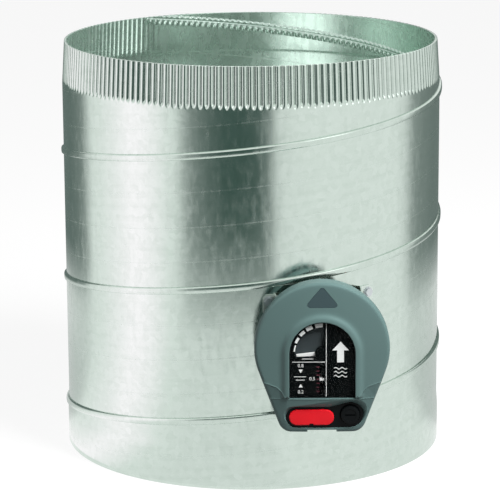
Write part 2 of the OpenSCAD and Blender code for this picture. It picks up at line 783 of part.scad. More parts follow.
crank_t = 3;
crank_w = 6.4;
hub_t = 8;
module crank_arm() {
    color("silver") difference() {
        union() {
            pin_at(shaft_x, shaft_z, mech_back, hub_t, bushing_r);
            plate_at(mech_back, crank_t) {
                translate([shaft_x, shaft_z]) rotate(crank_angle)
                    translate([0, -crank_w / 2]) square([crank_len, crank_w]);
                translate([crank_pin_x, crank_pin_z]) circle(r = crank_w / 2);
            }
        }
        pin_at(shaft_x, shaft_z, mech_back - cut, hub_t + 2 * cut, shaft_r + shank_play);
        pin_at(crank_pin_x, crank_pin_z, mech_back - cut, crank_t + 2 * cut, spring_pin_r + shank_play);
        translate([shaft_x, -mech_back - hub_t * 0.7, shaft_z]) cylinder(h = 2 * bushing_r, r = small_screw_r + shank_play);
    }
}

module crank_set_screw() {
    color("dimgray") translate([shaft_x, -mech_back - hub_t * 0.7, shaft_z + shaft_r + seat_gap])
        cylinder(h = bushing_r - shaft_r, r = small_screw_r);
}

// A pin that holds a spring hook, with a head that keeps the hook on
module hook_pin(x, z, from) {
    pin_at(x, z, from, pin_front - from, spring_pin_r);
    pin_at(x, z, pin_front, 1, spring_pin_r + 1);
}

module spring_pin() {
    color("silver") hook_pin(crank_pin_x, crank_pin_z, mech_back);
}

pointer_hub_r = 6;
pointer_tip_h = 2.4;
pointer_root_h = 3.8;
module pointer() {
    color("white") difference() {
        plate_at(pointer_back, pointer_t) translate([shaft_x, shaft_z]) {
            circle(r = pointer_hub_r);
            polygon([[0, -pointer_root_h / 2], [0, pointer_root_h / 2],
                [-fan_r + 0.8, pointer_tip_h / 2], [-fan_r + 0.8, -pointer_tip_h / 2]]);
        }
        pin_at(shaft_x, shaft_z, pointer_back - cut, pointer_t + 2 * cut, small_screw_r + shank_play);
    }
}

module pointer_screw() {
    color("silver") {
        pin_at(shaft_x, shaft_z, pointer_back, pointer_t, small_screw_r);
        pin_at(shaft_x, shaft_z, pointer_back + pointer_t, 0.9, small_head_r);
    }
}

// Gears and rack

// Angle of an involute at radius r, in degrees
function involute(base, r) = let (a = acos(min(1, base / r))) tan(a) * degree - a;
// Half of a tooth's angle at radius r
function half_tooth(teeth, r) = let (
        pitch = teeth * gear_module / 2,
        base = pitch * cos(pressure_angle))
    90 / teeth + involute(base, pitch) - involute(base, max(r, base)) - tooth_play / 2 / pitch * degree;
module gear_outline(teeth, turn) {
    pitch = teeth * gear_module / 2;
    radii = [pitch - dedendum, pitch - 0.4 * addendum, pitch + 0.4 * addendum, pitch + addendum];
    last = len(radii) - 1;
    polygon([for (i = [0 : teeth - 1], k = [0 : 2 * last + 1]) let (
            centre = turn + i * 360 / teeth,
            r = radii[k <= last ? k : 2 * last + 1 - k],
            a = centre + (k <= last ? -1 : 1) * half_tooth(teeth, r))
        [r * cos(a), r * sin(a)]]);
}

// The idler has a gap towards the rack, and the knob's gear is turned to mesh with it
idler_turn = 180 + 180 / idler_teeth;
mesh_angle = atan2(knob_z - idler_z, shaft_x + knob_x - idler_x);
idler_step = 360 / idler_teeth;
mesh_shift = (idler_turn - mesh_angle) / idler_step - round((idler_turn - mesh_angle) / idler_step);
knob_turn = mesh_angle + 180 - mesh_shift * 360 / knob_teeth + 180 / knob_teeth;

module knob_gear() {
    spindle_end = face_d - knob_len + 4;
    color("white") {
        plate_at(mech_back, gear_t) translate([shaft_x + knob_x, knob_z]) gear_outline(knob_teeth, knob_turn);
        pin_at(shaft_x + knob_x, knob_z, plate_front + 2 * pass_gap, spindle_end - plate_front, spindle_r);
    }
}

module idler_gear() {
    color("white") difference() {
        plate_at(mech_back, gear_t) translate([idler_x, idler_z]) gear_outline(idler_teeth, idler_turn);
        pin_at(idler_x, idler_z, mech_back - cut, gear_t + 2 * cut, idler_pin_r + bearing_play);
        // Six lightening holes
        for (k = [0 : 5]) pin_at(idler_x + 0.6 * idler_pitch_r * cos(60 * k), idler_z + 0.6 * idler_pitch_r * sin(60 * k),
            mech_back - cut, gear_t + 2 * cut, 0.2 * idler_pitch_r);
    }
}

stem_left = rack_x - 2.8;
stem_right = rack_x - dedendum;
module rack_carriage() {
    half = tooth_pitch / 4 - tooth_play / 2;
    root = half + dedendum * tan(pressure_angle);
    tip = half - addendum * tan(pressure_angle);
    first = ceil((rack_bottom - idler_z) / tooth_pitch + 0.5);
    final = floor((rack_top - idler_z) / tooth_pitch - 0.5);
    color("lightgray") difference() {
        plate_at(mech_back, gear_t) {
            translate([rack_back_x, rack_bottom]) square([rack_x - dedendum - rack_back_x, rack_top - rack_bottom]);
            translate([stem_left - 1, rack_top - cut]) square([stem_right - stem_left + 1, mark_z + 1 - rack_top + cut]);
            for (i = [first : final]) translate([rack_x, idler_z + i * tooth_pitch])
                polygon([[-dedendum, -root], [addendum, -tip], [addendum, tip], [-dedendum, root]]);
        }
        pin_at(anchor_x, anchor_z, mech_back - cut, gear_t + 2 * cut, spring_pin_r + shank_play);
    }
}

mark_front = dial_back - pass_gap;
module setpoint_mark() {
    color("white") {
        plate_at(mech_front, mark_front - mech_front)
            translate([stem_left, mark_z - mark_h / 2]) square([stem_right - stem_left, mark_h]);
        plate_at(mark_front - 2, 2)
            translate([shaft_x - mark_w / 2, mark_z - mark_h / 2]) square([mark_w, mark_h]);
    }
}

module anchor_pin() {
    color("silver") hook_pin(anchor_x, anchor_z, mech_back);
}

module knob() {
    front = face_d - 2.6;
    color("black") difference() {
        pin_at(shaft_x + knob_x, knob_z, front - knob_len, knob_len, knob_r);
        pin_at(shaft_x + knob_x, knob_z, front - knob_len - cut, knob_len, spindle_r + shank_play);
        for (k = [0 : flute_count - 1]) let (a = 360 * k / flute_count)
            pin_at(shaft_x + knob_x + knob_r * cos(a), knob_z + knob_r * sin(a), front - knob_len - cut,
                knob_len + 2 * cut, flute_r);
        // Screwdriver slot across the front
        plate_at(front - 1.6, 2 * cut + 1) translate([shaft_x + knob_x - 0.7 * knob_r, knob_z - 0.7])
            square([1.4 * knob_r, 1.4]);
    }
}

// The cover

// The cover's outer form: its rounded edge is built up in fine steps
round_steps = 5;
module cover_block() {
    for (k = [0 : round_steps]) let (
            turn = 90 * k / round_steps,
            drop = edge_round * (1 - sin(turn)),
            inset = edge_round * (1 - cos(turn)))
        plate_at(cover_back, face_d - drop - cover_back) box_outline(inset);
}

// The raised bezel, whose slope is built up in the same way
module bezel() {
    for (k = [1 : round_steps]) let (share = k / round_steps)
        plate_at(face_d - box_wall, box_wall + bezel_rise * share) arch(-bezel_w * (1.2 - share));
}

// Everything in front of the chin's sloping plane, moved back by depth
module chin_front(depth) {
    translate([0, -face_d, crease_z]) rotate([chin_tilt, 0, 0])
        translate([shaft_x - box_r, -box_r + depth, -box_r]) cube([2 * box_r, box_r, box_r]);
}

module arch(inset) {
    translate([shaft_x, shaft_z]) circle(r = window_r - inset);
    translate([shaft_x - window_r + inset, window_bottom + inset])
        square([2 * (window_r - inset), shaft_z - window_bottom - inset]);
}

module pill(w, h) {
    square([w - h, h], center = true);
    for (side = [-1, 1]) translate([side * (w - h) / 2, 0]) circle(r = h / 2);
}

module fascia_outline(inset) {
    w = badge_w + 2 * (fascia_rim - inset);
    h = badge_h + 2 * (fascia_rim - inset);
    translate([shaft_x + badge_x, badge_z]) pill(w, h);
    translate([shaft_x + knob_x, knob_z]) circle(r = recess_r - inset);
    translate([shaft_x + badge_x, badge_z - h / 2]) square([knob_x - badge_x, h]);
}

// A triangle whose corners are rounded in fine steps
module arrow_outline(inset) {
    c = arrow_corner;
    normal = atan2(arrow_w / 2 - c, arrow_h - 2 * c);
    corners = [
        [[c - arrow_w / 2, c], 180 - normal, 270],
        [[arrow_w / 2 - c, c], 270, 360 + normal],
        [[0, arrow_h - c], normal, 180 - normal]];
    translate([shaft_x, arrow_z]) polygon([
        for (corner = corners)
            for (k = [0 : round_steps]) let (a = corner[1] + (corner[2] - corner[1]) * k / round_steps)
                corner[0] + (c - inset) * [cos(a), sin(a)]]);
}

module front_cover() {
    color("slategray") difference() {
        union() {
            difference() {
                cover_block();
                chin_front(0);
            }
            bezel();
        }
        difference() {
            plate_at(cover_back - cut, face_d - box_wall - cover_back + cut) box_outline(box_wall);
            chin_front(box_wall);
        }
        chin_front(0);
        plate_at(cover_back, box_depth) arch(0);
        plate_at(cover_back, box_depth) fascia_outline(0);
        plate_at(face_d - arrow_t - seat_gap, box_wall) arrow_outline(0);
        translate([shaft_x - chin_notch_w / 2, -face_d - cut, box_bottom - cut])
            cube([chin_notch_w, face_d - cover_back + 2 * cut, chin_notch_h + cut]);
    }
}

fit_gap = 0.15;
module window_lens() {
    color([0.8, 0.85, 0.9, 0.35]) plate_at(dial_front, lens_t) arch(fit_gap);
}

module dial_plate() {
    color("black") difference() {
        plate_at(dial_back, dial_t) arch(-dial_lip);
        chin_front(box_wall + 2 * seat_gap);
        plate_at(dial_back - cut, dial_t + 2 * cut) {
            intersection() {
                difference() {
                    translate([shaft_x, shaft_z]) circle(r = fan_r);
                    translate([shaft_x, shaft_z]) circle(r = fan_inner_r);
                }
                translate([shaft_x - fan_r, shaft_z - pointer_root_h]) square([fan_r + pointer_root_h / 2, fan_r + pointer_root_h]);
            }
            translate([shaft_x - mark_w / 2 - fit_gap, mark_z - mark_travel - mark_h])
                square([mark_w + 2 * fit_gap, 2 * (mark_travel + mark_h)]);
        }
    }
}

fascia_front = face_d - 6;
fascia_t = 4;
module fascia_insert() {
    color([0.08, 0.09, 0.1]) difference() {
        union() {
            plate_at(fascia_front - fascia_t, fascia_t) fascia_outline(fit_gap);
            plate_at(fascia_front - fascia_t, fascia_t / 4) fascia_outline(-1.5 * fit_gap);
        }
        pin_at(shaft_x + knob_x, knob_z, fascia_front - 2 * fascia_t, 3 * fascia_t, knob_r + 2 * hole_gap);
    }
}

module badge() {
    color("red") plate_at(fascia_front, badge_t) translate([shaft_x + badge_x, badge_z]) pill(badge_w, badge_h);
}

module lift_arrow() {
    color([0.15, 0.18, 0.2]) plate_at(face_d - arrow_t, arrow_t) arrow_outline(fit_gap);
}

duct_tube();
lock_seam();
crimped_end();
lower_seat();
upper_seat();
lower_seat_gasket();
upper_seat_gasket();
front_bushing();
rear_bushing();
mounting_bracket();
bracket_screws();
base_housing();
base_screws();
carriage_keeper();
gear_retainer();
small_screws();
idler_pin();
inner_dial();
tension_spring();
blade();
shaft();
blade_straps();
strap_screws();
strap_nuts();
shaft_collars();
shaft_end_cap();
crank_arm();
crank_set_screw();
spring_pin();
pointer();
pointer_screw();
knob();
knob_gear();
idler_gear();
rack_carriage();
setpoint_mark();
anchor_pin();
front_cover();
window_lens();
dial_plate();
fascia_insert();
badge();
lift_arrow();
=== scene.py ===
"""Looks of a pressure regulating damper: its duct, control box, finishes and studio.

Lengths are in millimetres, but for the studio's and the settings', which are in metres. A place on
the front is given as x, z and d, the distance out from the duct's axis towards the viewer.
"""

import json
import math
from functools import partial

import bmesh
import bpy
import numpy as np
from mathutils import Matrix, Vector


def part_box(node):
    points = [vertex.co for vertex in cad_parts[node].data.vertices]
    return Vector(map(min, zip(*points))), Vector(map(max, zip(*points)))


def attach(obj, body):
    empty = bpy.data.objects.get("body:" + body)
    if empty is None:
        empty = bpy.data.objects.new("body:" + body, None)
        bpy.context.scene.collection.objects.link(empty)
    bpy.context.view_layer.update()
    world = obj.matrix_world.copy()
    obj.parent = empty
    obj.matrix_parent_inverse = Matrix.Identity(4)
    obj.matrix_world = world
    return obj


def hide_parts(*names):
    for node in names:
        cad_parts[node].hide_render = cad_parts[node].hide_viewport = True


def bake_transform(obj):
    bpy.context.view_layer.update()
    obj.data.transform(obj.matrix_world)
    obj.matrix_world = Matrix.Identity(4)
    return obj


bl_info = {
    "name": "Regulating Damper Looks",
    "version": (1, 0, 0),
    "blender": (4, 5, 0),
    "location": "View3D > Sidebar > Damper",
    "description": "Finishes, fine shapes and studio of a pressure regulating damper",
    "category": "Add Mesh",
}

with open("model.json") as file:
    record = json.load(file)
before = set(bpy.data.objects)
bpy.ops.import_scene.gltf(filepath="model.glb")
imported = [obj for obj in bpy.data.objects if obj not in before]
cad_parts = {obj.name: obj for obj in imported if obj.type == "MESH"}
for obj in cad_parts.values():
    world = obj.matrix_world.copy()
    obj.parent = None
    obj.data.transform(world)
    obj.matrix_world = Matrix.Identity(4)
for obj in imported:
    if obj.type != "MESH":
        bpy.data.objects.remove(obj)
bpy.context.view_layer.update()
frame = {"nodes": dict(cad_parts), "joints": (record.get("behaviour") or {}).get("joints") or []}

MM = 0.001


def cad_box(name):
    """A CAD node's low and high corners in millimetres."""
    return [[1000 * v for v in corner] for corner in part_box(name)]


def cad_middle(name):
    low, high = cad_box(name)
    return [(a + b) / 2 for a, b in zip(low, high)]


# The duct
DUCT_R = 177.8
WALL = 0.8
RIM_EASE = 0.15
CRIMP_Z, DUCT_H = (corner[2] for corner in cad_box("crimped_end"))
CRIMP_RIM_R = 175.3
CRIMP_GROWTH = 5.5
CRIMP_SEED = 5
SOCKET_R = 178.7
SOCKET_LEN = 38.0
SOCKET_EASE = 9.0
SEAM_PITCH = 122.1
SEAM_LEFT_Z = 37.5
SEAM_HALF_W = 3.2
SEAM_STEPS = 200

# The control box
SHAFT = next(joint for joint in frame["joints"] if joint["name"] == "blade_turn")
SHAFT_X, _, SHAFT_Z = (1000 * v for v in SHAFT["pos_m"])
BOX_LOW, BOX_HIGH = cad_box("front_cover")
BOX_BOTTOM, BOX_R = BOX_LOW[2], (BOX_HIGH[0] - BOX_LOW[0]) / 2
BOX_Z = BOX_HIGH[2] - BOX_R
BOX_CORNER_R, BOX_FOOT = 12.0, 27.2
FACE_D = 212.0
COVER_BACK = 196.5
COVER_WALL = 2.2
EDGE_ROUND = 3.0
WINDOW_GAP = 0.15
WINDOW_LOW, WINDOW_HIGH = cad_box("window_lens")
WINDOW_BOTTOM = WINDOW_LOW[2] - WINDOW_GAP
WINDOW_R = (WINDOW_HIGH[0] - WINDOW_LOW[0]) / 2 + WINDOW_GAP
WINDOW_FRONT = 211.6
CREASE_Z = WINDOW_BOTTOM - 0.8
ARROW_BACK, ARROW_GAP, ARROW_SUNK = FACE_D - 3.5, 0.2, 0.12
FOOT_NOTCH_HALF_W, FOOT_NOTCH_H = 13.0, 2.7
DIAL_FRONT = 209.7
# Height of a figure as a share of its font's size
FIGURE_SHARE = 0.7
# Back and front of the print, sunk a little into the dial
PRINT = (DIAL_FRONT - 0.02, DIAL_FRONT + 0.08)
LIP_DROP, LIP_CURVE = 3.6, 1.35
LIP_BACK, PLATE_BACK, FASCIA_D = 203.0, 202.0, 206.0
BADGE_X, _, BADGE_Z = cad_middle("badge")
BADGE_LOW, BADGE_HIGH = cad_box("badge")
BADGE_W, BADGE_H = BADGE_HIGH[0] - BADGE_LOW[0], BADGE_HIGH[2] - BADGE_LOW[2]
BADGE_FRONT = 208.2
KNOB_X, _, KNOB_Z = cad_middle("knob")
KNOB_R, KNOB_BACK, KNOB_FRONT = 8.6, 197.0, 209.4
KNOB_GAP, FLUTE_DEPTH = 0.6, 0.55
RECESS_R = 11.5
POINTER_BACK, POINTER_T = 206.2, 1.2
SPRING_D = 197.0


# Colour and shader helpers

def linear(code):
    """Linear colour of an sRGB hex value."""
    channels = [int(code[i:i + 2], 16) / 255 for i in (1, 3, 5)]
    return [c / 12.92 if c <= 0.04045 else ((c + 0.055) / 1.055) ** 2.4 for c in channels]


def rgba(colour):
    """An opaque colour, from a hex value or from a linear colour."""
    return (*(linear(colour) if isinstance(colour, str) else colour), 1)


def add_node(tree, kind, inputs=None, out=0, **settings):
    """Adds a shader node with its settings, its inputs as values or links, and gives one of its outputs."""
    made = tree.nodes.new("ShaderNode" + kind)
    for key, value in settings.items():
        setattr(made, key, value)
    for key, value in (inputs or {}).items():
        if isinstance(value, bpy.types.NodeSocket):
            tree.links.new(value, made.inputs[key])
        else:
            made.inputs[key].default_value = value
    return made.outputs[out] if made.outputs else None


def cleared(owner):
    """Empties a material's or world's nodes, and gives the function that adds nodes there."""
    owner.use_nodes = True
    owner.node_tree.nodes.clear()
    return partial(add_node, owner.node_tree)


def blank_material(name, colour, roughness, metallic=0.0, **sockets):
    """A material, the function that adds its nodes, and its shader, with the constants on its sockets."""
    material = bpy.data.materials.new(name)
    add = cleared(material)
    inputs = {"Base Color": rgba(colour), "Roughness": roughness, "Metallic": metallic}
    inputs.update({key.replace("_", " "): value for key, value in sockets.items()})
    shader = add("BsdfPrincipled", inputs).node
    add("OutputMaterial", {"Surface": shader.outputs[0]})
    return material, add, shader


def drive(shader, **patterns):
    """Links patterns to the shader's sockets."""
    for key, pattern in patterns.items():
        shader.id_data.links.new(pattern, shader.inputs[key.replace("_", " ")])


def per_metre(size_mm):
    """A pattern's scale, from the real size of its grains."""
    return 1000 / size_mm


# Materials

def galvanised_coil_steel(name, colour, dark, spangle_mm, tilt, rolled=True, metallic=1.0, rough=(0.13, 0.3)):
    """Hot-dip galvanised sheet: a satin mirror with faint spangles, wiped streaks and lines of the rolls."""
    material, add, shader = blank_material(name, colour, rough[0], metallic)
    place = add("TexCoord", out="Object")
    # Each spangle leans its own way
    spangle = add("TexVoronoi", {"Vector": place, "Scale": per_metre(spangle_mm)}, out="Color")
    lean = add("VectorMath", {0: spangle, 1: (0.5, 0.5, 0.5)}, operation="SUBTRACT")
    lean = add("VectorMath", {0: lean, "Scale": tilt}, operation="SCALE")
    facing = add("VectorMath", {0: add("NewGeometry", out="Normal"), 1: lean}, operation="ADD")
    facing = add("VectorMath", {0: facing}, operation="NORMALIZE")
    # Dulled patches, taller than wide, where the sheet was wiped
    tall = add("VectorMath", {0: place, 1: (1, 1, 0.35)}, operation="MULTIPLY")
    wiped = add("TexNoise", {"Vector": tall, "Scale": per_metre(5.5), "Detail": 4.0})
    dull = add("MapRange", {0: wiped, 1: 0.42, 2: 0.78, 3: rough[0], 4: rough[1]})
    if rolled:
        # Height along the sheet's own width, which winds up the duct with the seam
        pitch = SEAM_PITCH * MM
        split = add("SeparateXYZ", {0: place}).node.outputs
        turn = add("Math", {0: split[1], 1: split[0]}, operation="ARCTAN2")
        climb = add("Math", {0: turn, 1: -pitch / math.tau, 2: split[2]}, operation="MULTIPLY_ADD")
        climb = add("Math", {0: climb, 1: SEAM_LEFT_Z * MM + pitch / 2}, operation="SUBTRACT")
        across = add("Math", {0: climb, 1: pitch}, operation="FLOORED_MODULO")
        streak = add("TexNoise", {"W": across, "Scale": per_metre(5), "Detail": 3.0}, noise_dimensions="1D")
        # Dull lines a millimetre wide along the strip, left by the forming rolls
        gap, start, half_w = 0.26 * pitch, 0.08 * pitch, 0.5 * MM
        near = add("Math", {0: across, 1: start}, operation="SUBTRACT")
        near = add("Math", {0: near, 1: gap}, operation="FLOORED_MODULO")
        near = add("Math", {0: near, 1: gap / 2, 2: half_w}, operation="COMPARE")
        dull = add("Math", {0: near, 1: 0.09, 2: dull}, operation="MULTIPLY_ADD")
    else:
        streak = add("TexNoise", {"Vector": place, "Scale": per_metre(7), "Detail": 3.0})
    buckle = add("TexNoise", {"Vector": place, "Scale": per_metre(60), "Detail": 1.0})
    fine = add("TexNoise", {"Vector": place, "Scale": per_metre(2.5), "Detail": 3.0})
    for height, depth_mm in ((buckle, 0.5), (streak, 0.012), (fine, 0.006)):
        facing = add("Bump", {"Height": height, "Distance": depth_mm * MM, "Normal": facing})
    shade = add("Math", {0: add("SeparateColor", {0: spangle}), 1: streak}, operation="MULTIPLY")
    shade = add("MapRange", {0: shade, 2: 0.6})
    tint = add("Mix", {0: shade, 6: rgba(colour), 7: rgba(dark)}, out=2, data_type="RGBA")
    if rolled:
        # Painted shade: the base colour darkens towards a dark green in the crimps' grooves, as far as each
        # groove is deep
        groove = add("Attribute", out="Fac", attribute_name="groove")
        groove = add("Math", {0: groove, 1: 0.22}, operation="MULTIPLY")
        tint = add("Mix", {0: groove, 6: tint, 7: rgba("#3E5048")}, out=2, data_type="RGBA")
    drive(shader, Base_Color=tint, Roughness=dull, Normal=facing)
    return material


def moulded_plastic(name, colour, roughness, depth_mm=0.02, **sockets):
    """Injection-moulded plastic: a soft sheen over the faint eroded grain of the mould.

    The real grain is about 0.1 mm; it is drawn coarser, so that it shows at all.
    """
    material, add, shader = blank_material(name, colour, roughness, **sockets)
    place = add("TexCoord", out="Object")
    if depth_mm:
        grain = add("TexNoise", {"Vector": place, "Scale": per_metre(0.9)})
        drive(shader, Normal=add("Bump", {"Height": grain, "Distance": depth_mm * MM}))
    patchy = add("TexNoise", {"Vector": place, "Scale": per_metre(18)})
    sheen = {0: patchy, 1: 0.3, 2: 0.7, 3: roughness * 0.9, 4: roughness * 1.12}
    drive(shader, Roughness=add("MapRange", sheen))
    return material


def drawn_metal(name, colour, roughness, grain_mm):
    """Plated or drawn steel: an even bright sheen with slight unevenness from the bath or the die."""
    material, add, shader = blank_material(name, colour, roughness, 1.0)
    place = add("TexCoord", out="Object")
    cloud = add("TexNoise", {"Vector": place, "Scale": per_metre(grain_mm), "Detail": 3.0})
    sheen = {0: cloud, 1: 0.3, 2: 0.7, 3: roughness * 0.8, 4: roughness * 1.25}
    drive(shader, Roughness=add("MapRange", sheen),
          Normal=add("Bump", {"Height": cloud, "Distance": 0.01 * MM}))
    return material


def cellular_foam():
    """Closed-cell foam rubber: dull black, pitted all over with cells of under a millimetre."""
    material, add, shader = blank_material("cellular_foam_rubber", "#1C1D1D", 0.95)
    cells = add("TexVoronoi", {"Vector": add("TexCoord", out="Object"), "Scale": per_metre(0.9)})
    drive(shader, Normal=add("Bump", {"Height": cells, "Distance": 0.25 * MM}))
    return material


def make_materials(duct, box):
    """Every finish by the name of the record's slot, or of the print."""
    return {
        # Wound strip of the duct: satin zinc with faint spangles and lines along the strip
        "galvanised_sheet": galvanised_coil_steel(
            "galvanised_coil_steel", duct.steel_colour, "#CAD8CF", 5, 0.007),
        # The same strip inside the duct, dulled by the forming oil, so that it scatters more light, and
        # painted darker than the outside as shade inside the duct
        "galvanised_inside": galvanised_coil_steel(
            "galvanised_coil_steel_oiled_and_shaded", "#C2D5CB", "#B8CCC2", 5, 0.008, metallic=0.9, rough=(0.24, 0.34)),
        # Flat pressed pieces of the same zinc, without the duct's wound lines
        "pressed_sheet": galvanised_coil_steel(
            "galvanised_pressed_steel", "#D3DBD6", "#C6D0CA", 6, 0.015, rolled=False, rough=(0.34, 0.46)),
        # Zinc sheet of the bracket: a little milky from its passivation
        "passivated_sheet": galvanised_coil_steel(
            "passivated_zinc_sheet", "#D3DED7", "#C6D2CA", 6, 0.01, rolled=False, metallic=0.85,
            rough=(0.32, 0.4)),
        # Bright bluish zinc of fasteners and shafts
        "zinc_plated_steel": drawn_metal("zinc_plated_steel", "#D2D8DA", 0.4, 3),
        # Blackened steel: nearly black with an oily sheen
        "black_oxide_steel": drawn_metal("black_oxide_steel", "#2A2C2E", 0.38, 2),
        # Bright hard-drawn spring wire
        "spring_steel": drawn_metal("drawn_spring_wire", "#A9ADAF", 0.25, 0.8),
        # Foam strips of the stops: dull black, pitted
        "black_foam_rubber": cellular_foam(),
        # Nylon in its natural colour: milky and slightly waxy
        "natural_nylon": moulded_plastic(
            "moulded_natural_nylon", "#D9D5C6", 0.42, Subsurface_Weight=0.15, Subsurface_Scale=0.002),
        # ABS of the shell: dark grey with a green cast and a satin sheen
        "grey_moulded_abs": moulded_plastic(
            "moulded_grey_abs", box.shell_colour, 0.42, Specular_IOR_Level=0.25),
        # Black ABS of the trim: deep black with a soft highlight
        "black_moulded_abs": moulded_plastic(
            "moulded_black_abs", "#090C0D", 0.42, depth_mm=0.012, Specular_IOR_Level=0.1),
        # Printed plate: flat black ink on sheet plastic
        "black_printed_plate": moulded_plastic(
            "screen_printed_black_plate", "#050808", 0.5, depth_mm=0, Specular_IOR_Level=0.03),
        # Grey plate behind the pointer: the same sheet, printed dark grey
        "grey_printed_plate": moulded_plastic(
            "screen_printed_grey_plate", "#3A4244", 0.5, depth_mm=0, Specular_IOR_Level=0.2),
        # Dull red ink of the small scale marks
        "red_ink": moulded_plastic("screen_printed_red_ink", "#6E3340", 0.55, depth_mm=0),
        # Slate ABS of the lift arrow: matt, and darker than the shell
        "slate_inlay": moulded_plastic("moulded_slate_abs", "#37474A", 0.45, Specular_IOR_Level=0.3),
        # White screen ink: flat and slightly raised
        "white_ink": moulded_plastic("screen_printed_white_ink", "#F1F4F2", 0.55, depth_mm=0),
        # Polycarbonate of the window: clear, with a glossy surface
        "clear_polycarbonate": moulded_plastic(
            "moulded_clear_polycarbonate", "#101416", 0.06, depth_mm=0, Alpha=0.04, IOR=1.58),
        # Red ABS from a polished mould: even colour and a sharp highlight
        "red_gloss_plastic": moulded_plastic(
            "moulded_red_gloss_abs", box.badge_colour, 0.2, depth_mm=0, Specular_IOR_Level=0.15),
        # Acetal: chalk white with a greasy sheen
        "white_acetal": moulded_plastic("moulded_white_acetal", "#EEF0EC", 0.35, depth_mm=0.01),
    }


MATERIALS = {}

# Which finish each CAD node carries; the rest take the finish of their record slot
NODE_FINISH = {
    "mounting_bracket": "passivated_sheet", "lower_seat": "pressed_sheet", "upper_seat": "pressed_sheet",
    "blade": "pressed_sheet", "setpoint_mark": "white_ink", "inner_dial": "grey_printed_plate",
}


def node_slot(name):
    """The record's slot of a CAD node, read from its packed material's name."""
    for slot in frame["nodes"][name].material_slots:
        if slot.material:
            for known in MATERIALS:
                if slot.material.name.startswith(known):
                    return known
    return "zinc_plated_steel"


# Mesh helpers

def placed(name, data):
    """A new object in the scene."""
    made = bpy.data.objects.new(name, data)
    bpy.context.scene.collection.objects.link(made)
    return made


def face_outward(mesh):
    work = bmesh.new()
    work.from_mesh(mesh)
    bmesh.ops.recalc_face_normals(work, faces=work.faces)
    work.to_mesh(mesh)
    work.free()


def smooth(mesh, angle):
    mesh.shade_smooth()
    mesh.set_sharp_from_angle(angle=math.radians(angle))


def vertex_share(mesh, name, values):
    """A share at each vertex, from rows of values, which a material reads."""
    share = mesh.attributes.new(name, "FLOAT", "POINT")
    share.data.foreach_set("value", np.concatenate(values).astype(np.float32))


def lifted(outline, d):
    """Points in x and z as points in space at distance d out."""
    outline = np.asarray(outline, float)
    return np.column_stack([outline[:, 0], np.full(len(outline), -d), outline[:, 1]])


def around(count, corners=()):
    """Angles round a centre, in radians, that pass exactly through the given corner directions."""
    angles = np.linspace(0, math.tau, count, endpoint=False)
    for corner in corners:
        gap = (angles - corner + math.pi) % math.tau - math.pi
        nearest = int(np.argmin(np.abs(gap)))
        angles[nearest] = angles[nearest] - gap[nearest]
    return angles


def reach(circles, centre, angles, inset=0.0):
    """How far the hull of circles, moved in by inset, reaches from a centre inside it along each angle."""
    normals = list(np.linspace(0, math.tau, 360, endpoint=False))
    for i, (ax, az, ar) in enumerate(circles):
        for bx, bz, br in circles[i + 1:]:
            apart = math.hypot(bx - ax, bz - az)
            if apart > abs(ar - br):
                along, lean = math.atan2(bz - az, bx - ax), math.acos((ar - br) / apart)
                normals += [along + lean, along - lean]
    nx, nz = np.cos(normals), np.sin(normals)
    support = np.max([(x - centre[0]) * nx + (z - centre[1]) * nz + r for x, z, r in circles], axis=0) - inset
    facing = np.outer(np.cos(angles), nx) + np.outer(np.sin(angles), nz)
    spans = np.where(facing > 1e-6, support[None, :] / np.maximum(facing, 1e-6), np.inf)
    return spans.min(axis=1)


def ray_points(centre, angles, lengths):
    return np.column_stack([centre[0] + lengths * np.cos(angles), centre[1] + lengths * np.sin(angles)])


def hull(circles, centre, angles, inset=0.0):
    return ray_points(centre, angles, reach(circles, centre, angles, inset))


def eased(value, low, high):
    share = np.clip((np.asarray(value, float) - low) / (high - low), 0, 1)
    return share * share * (3 - 2 * share)


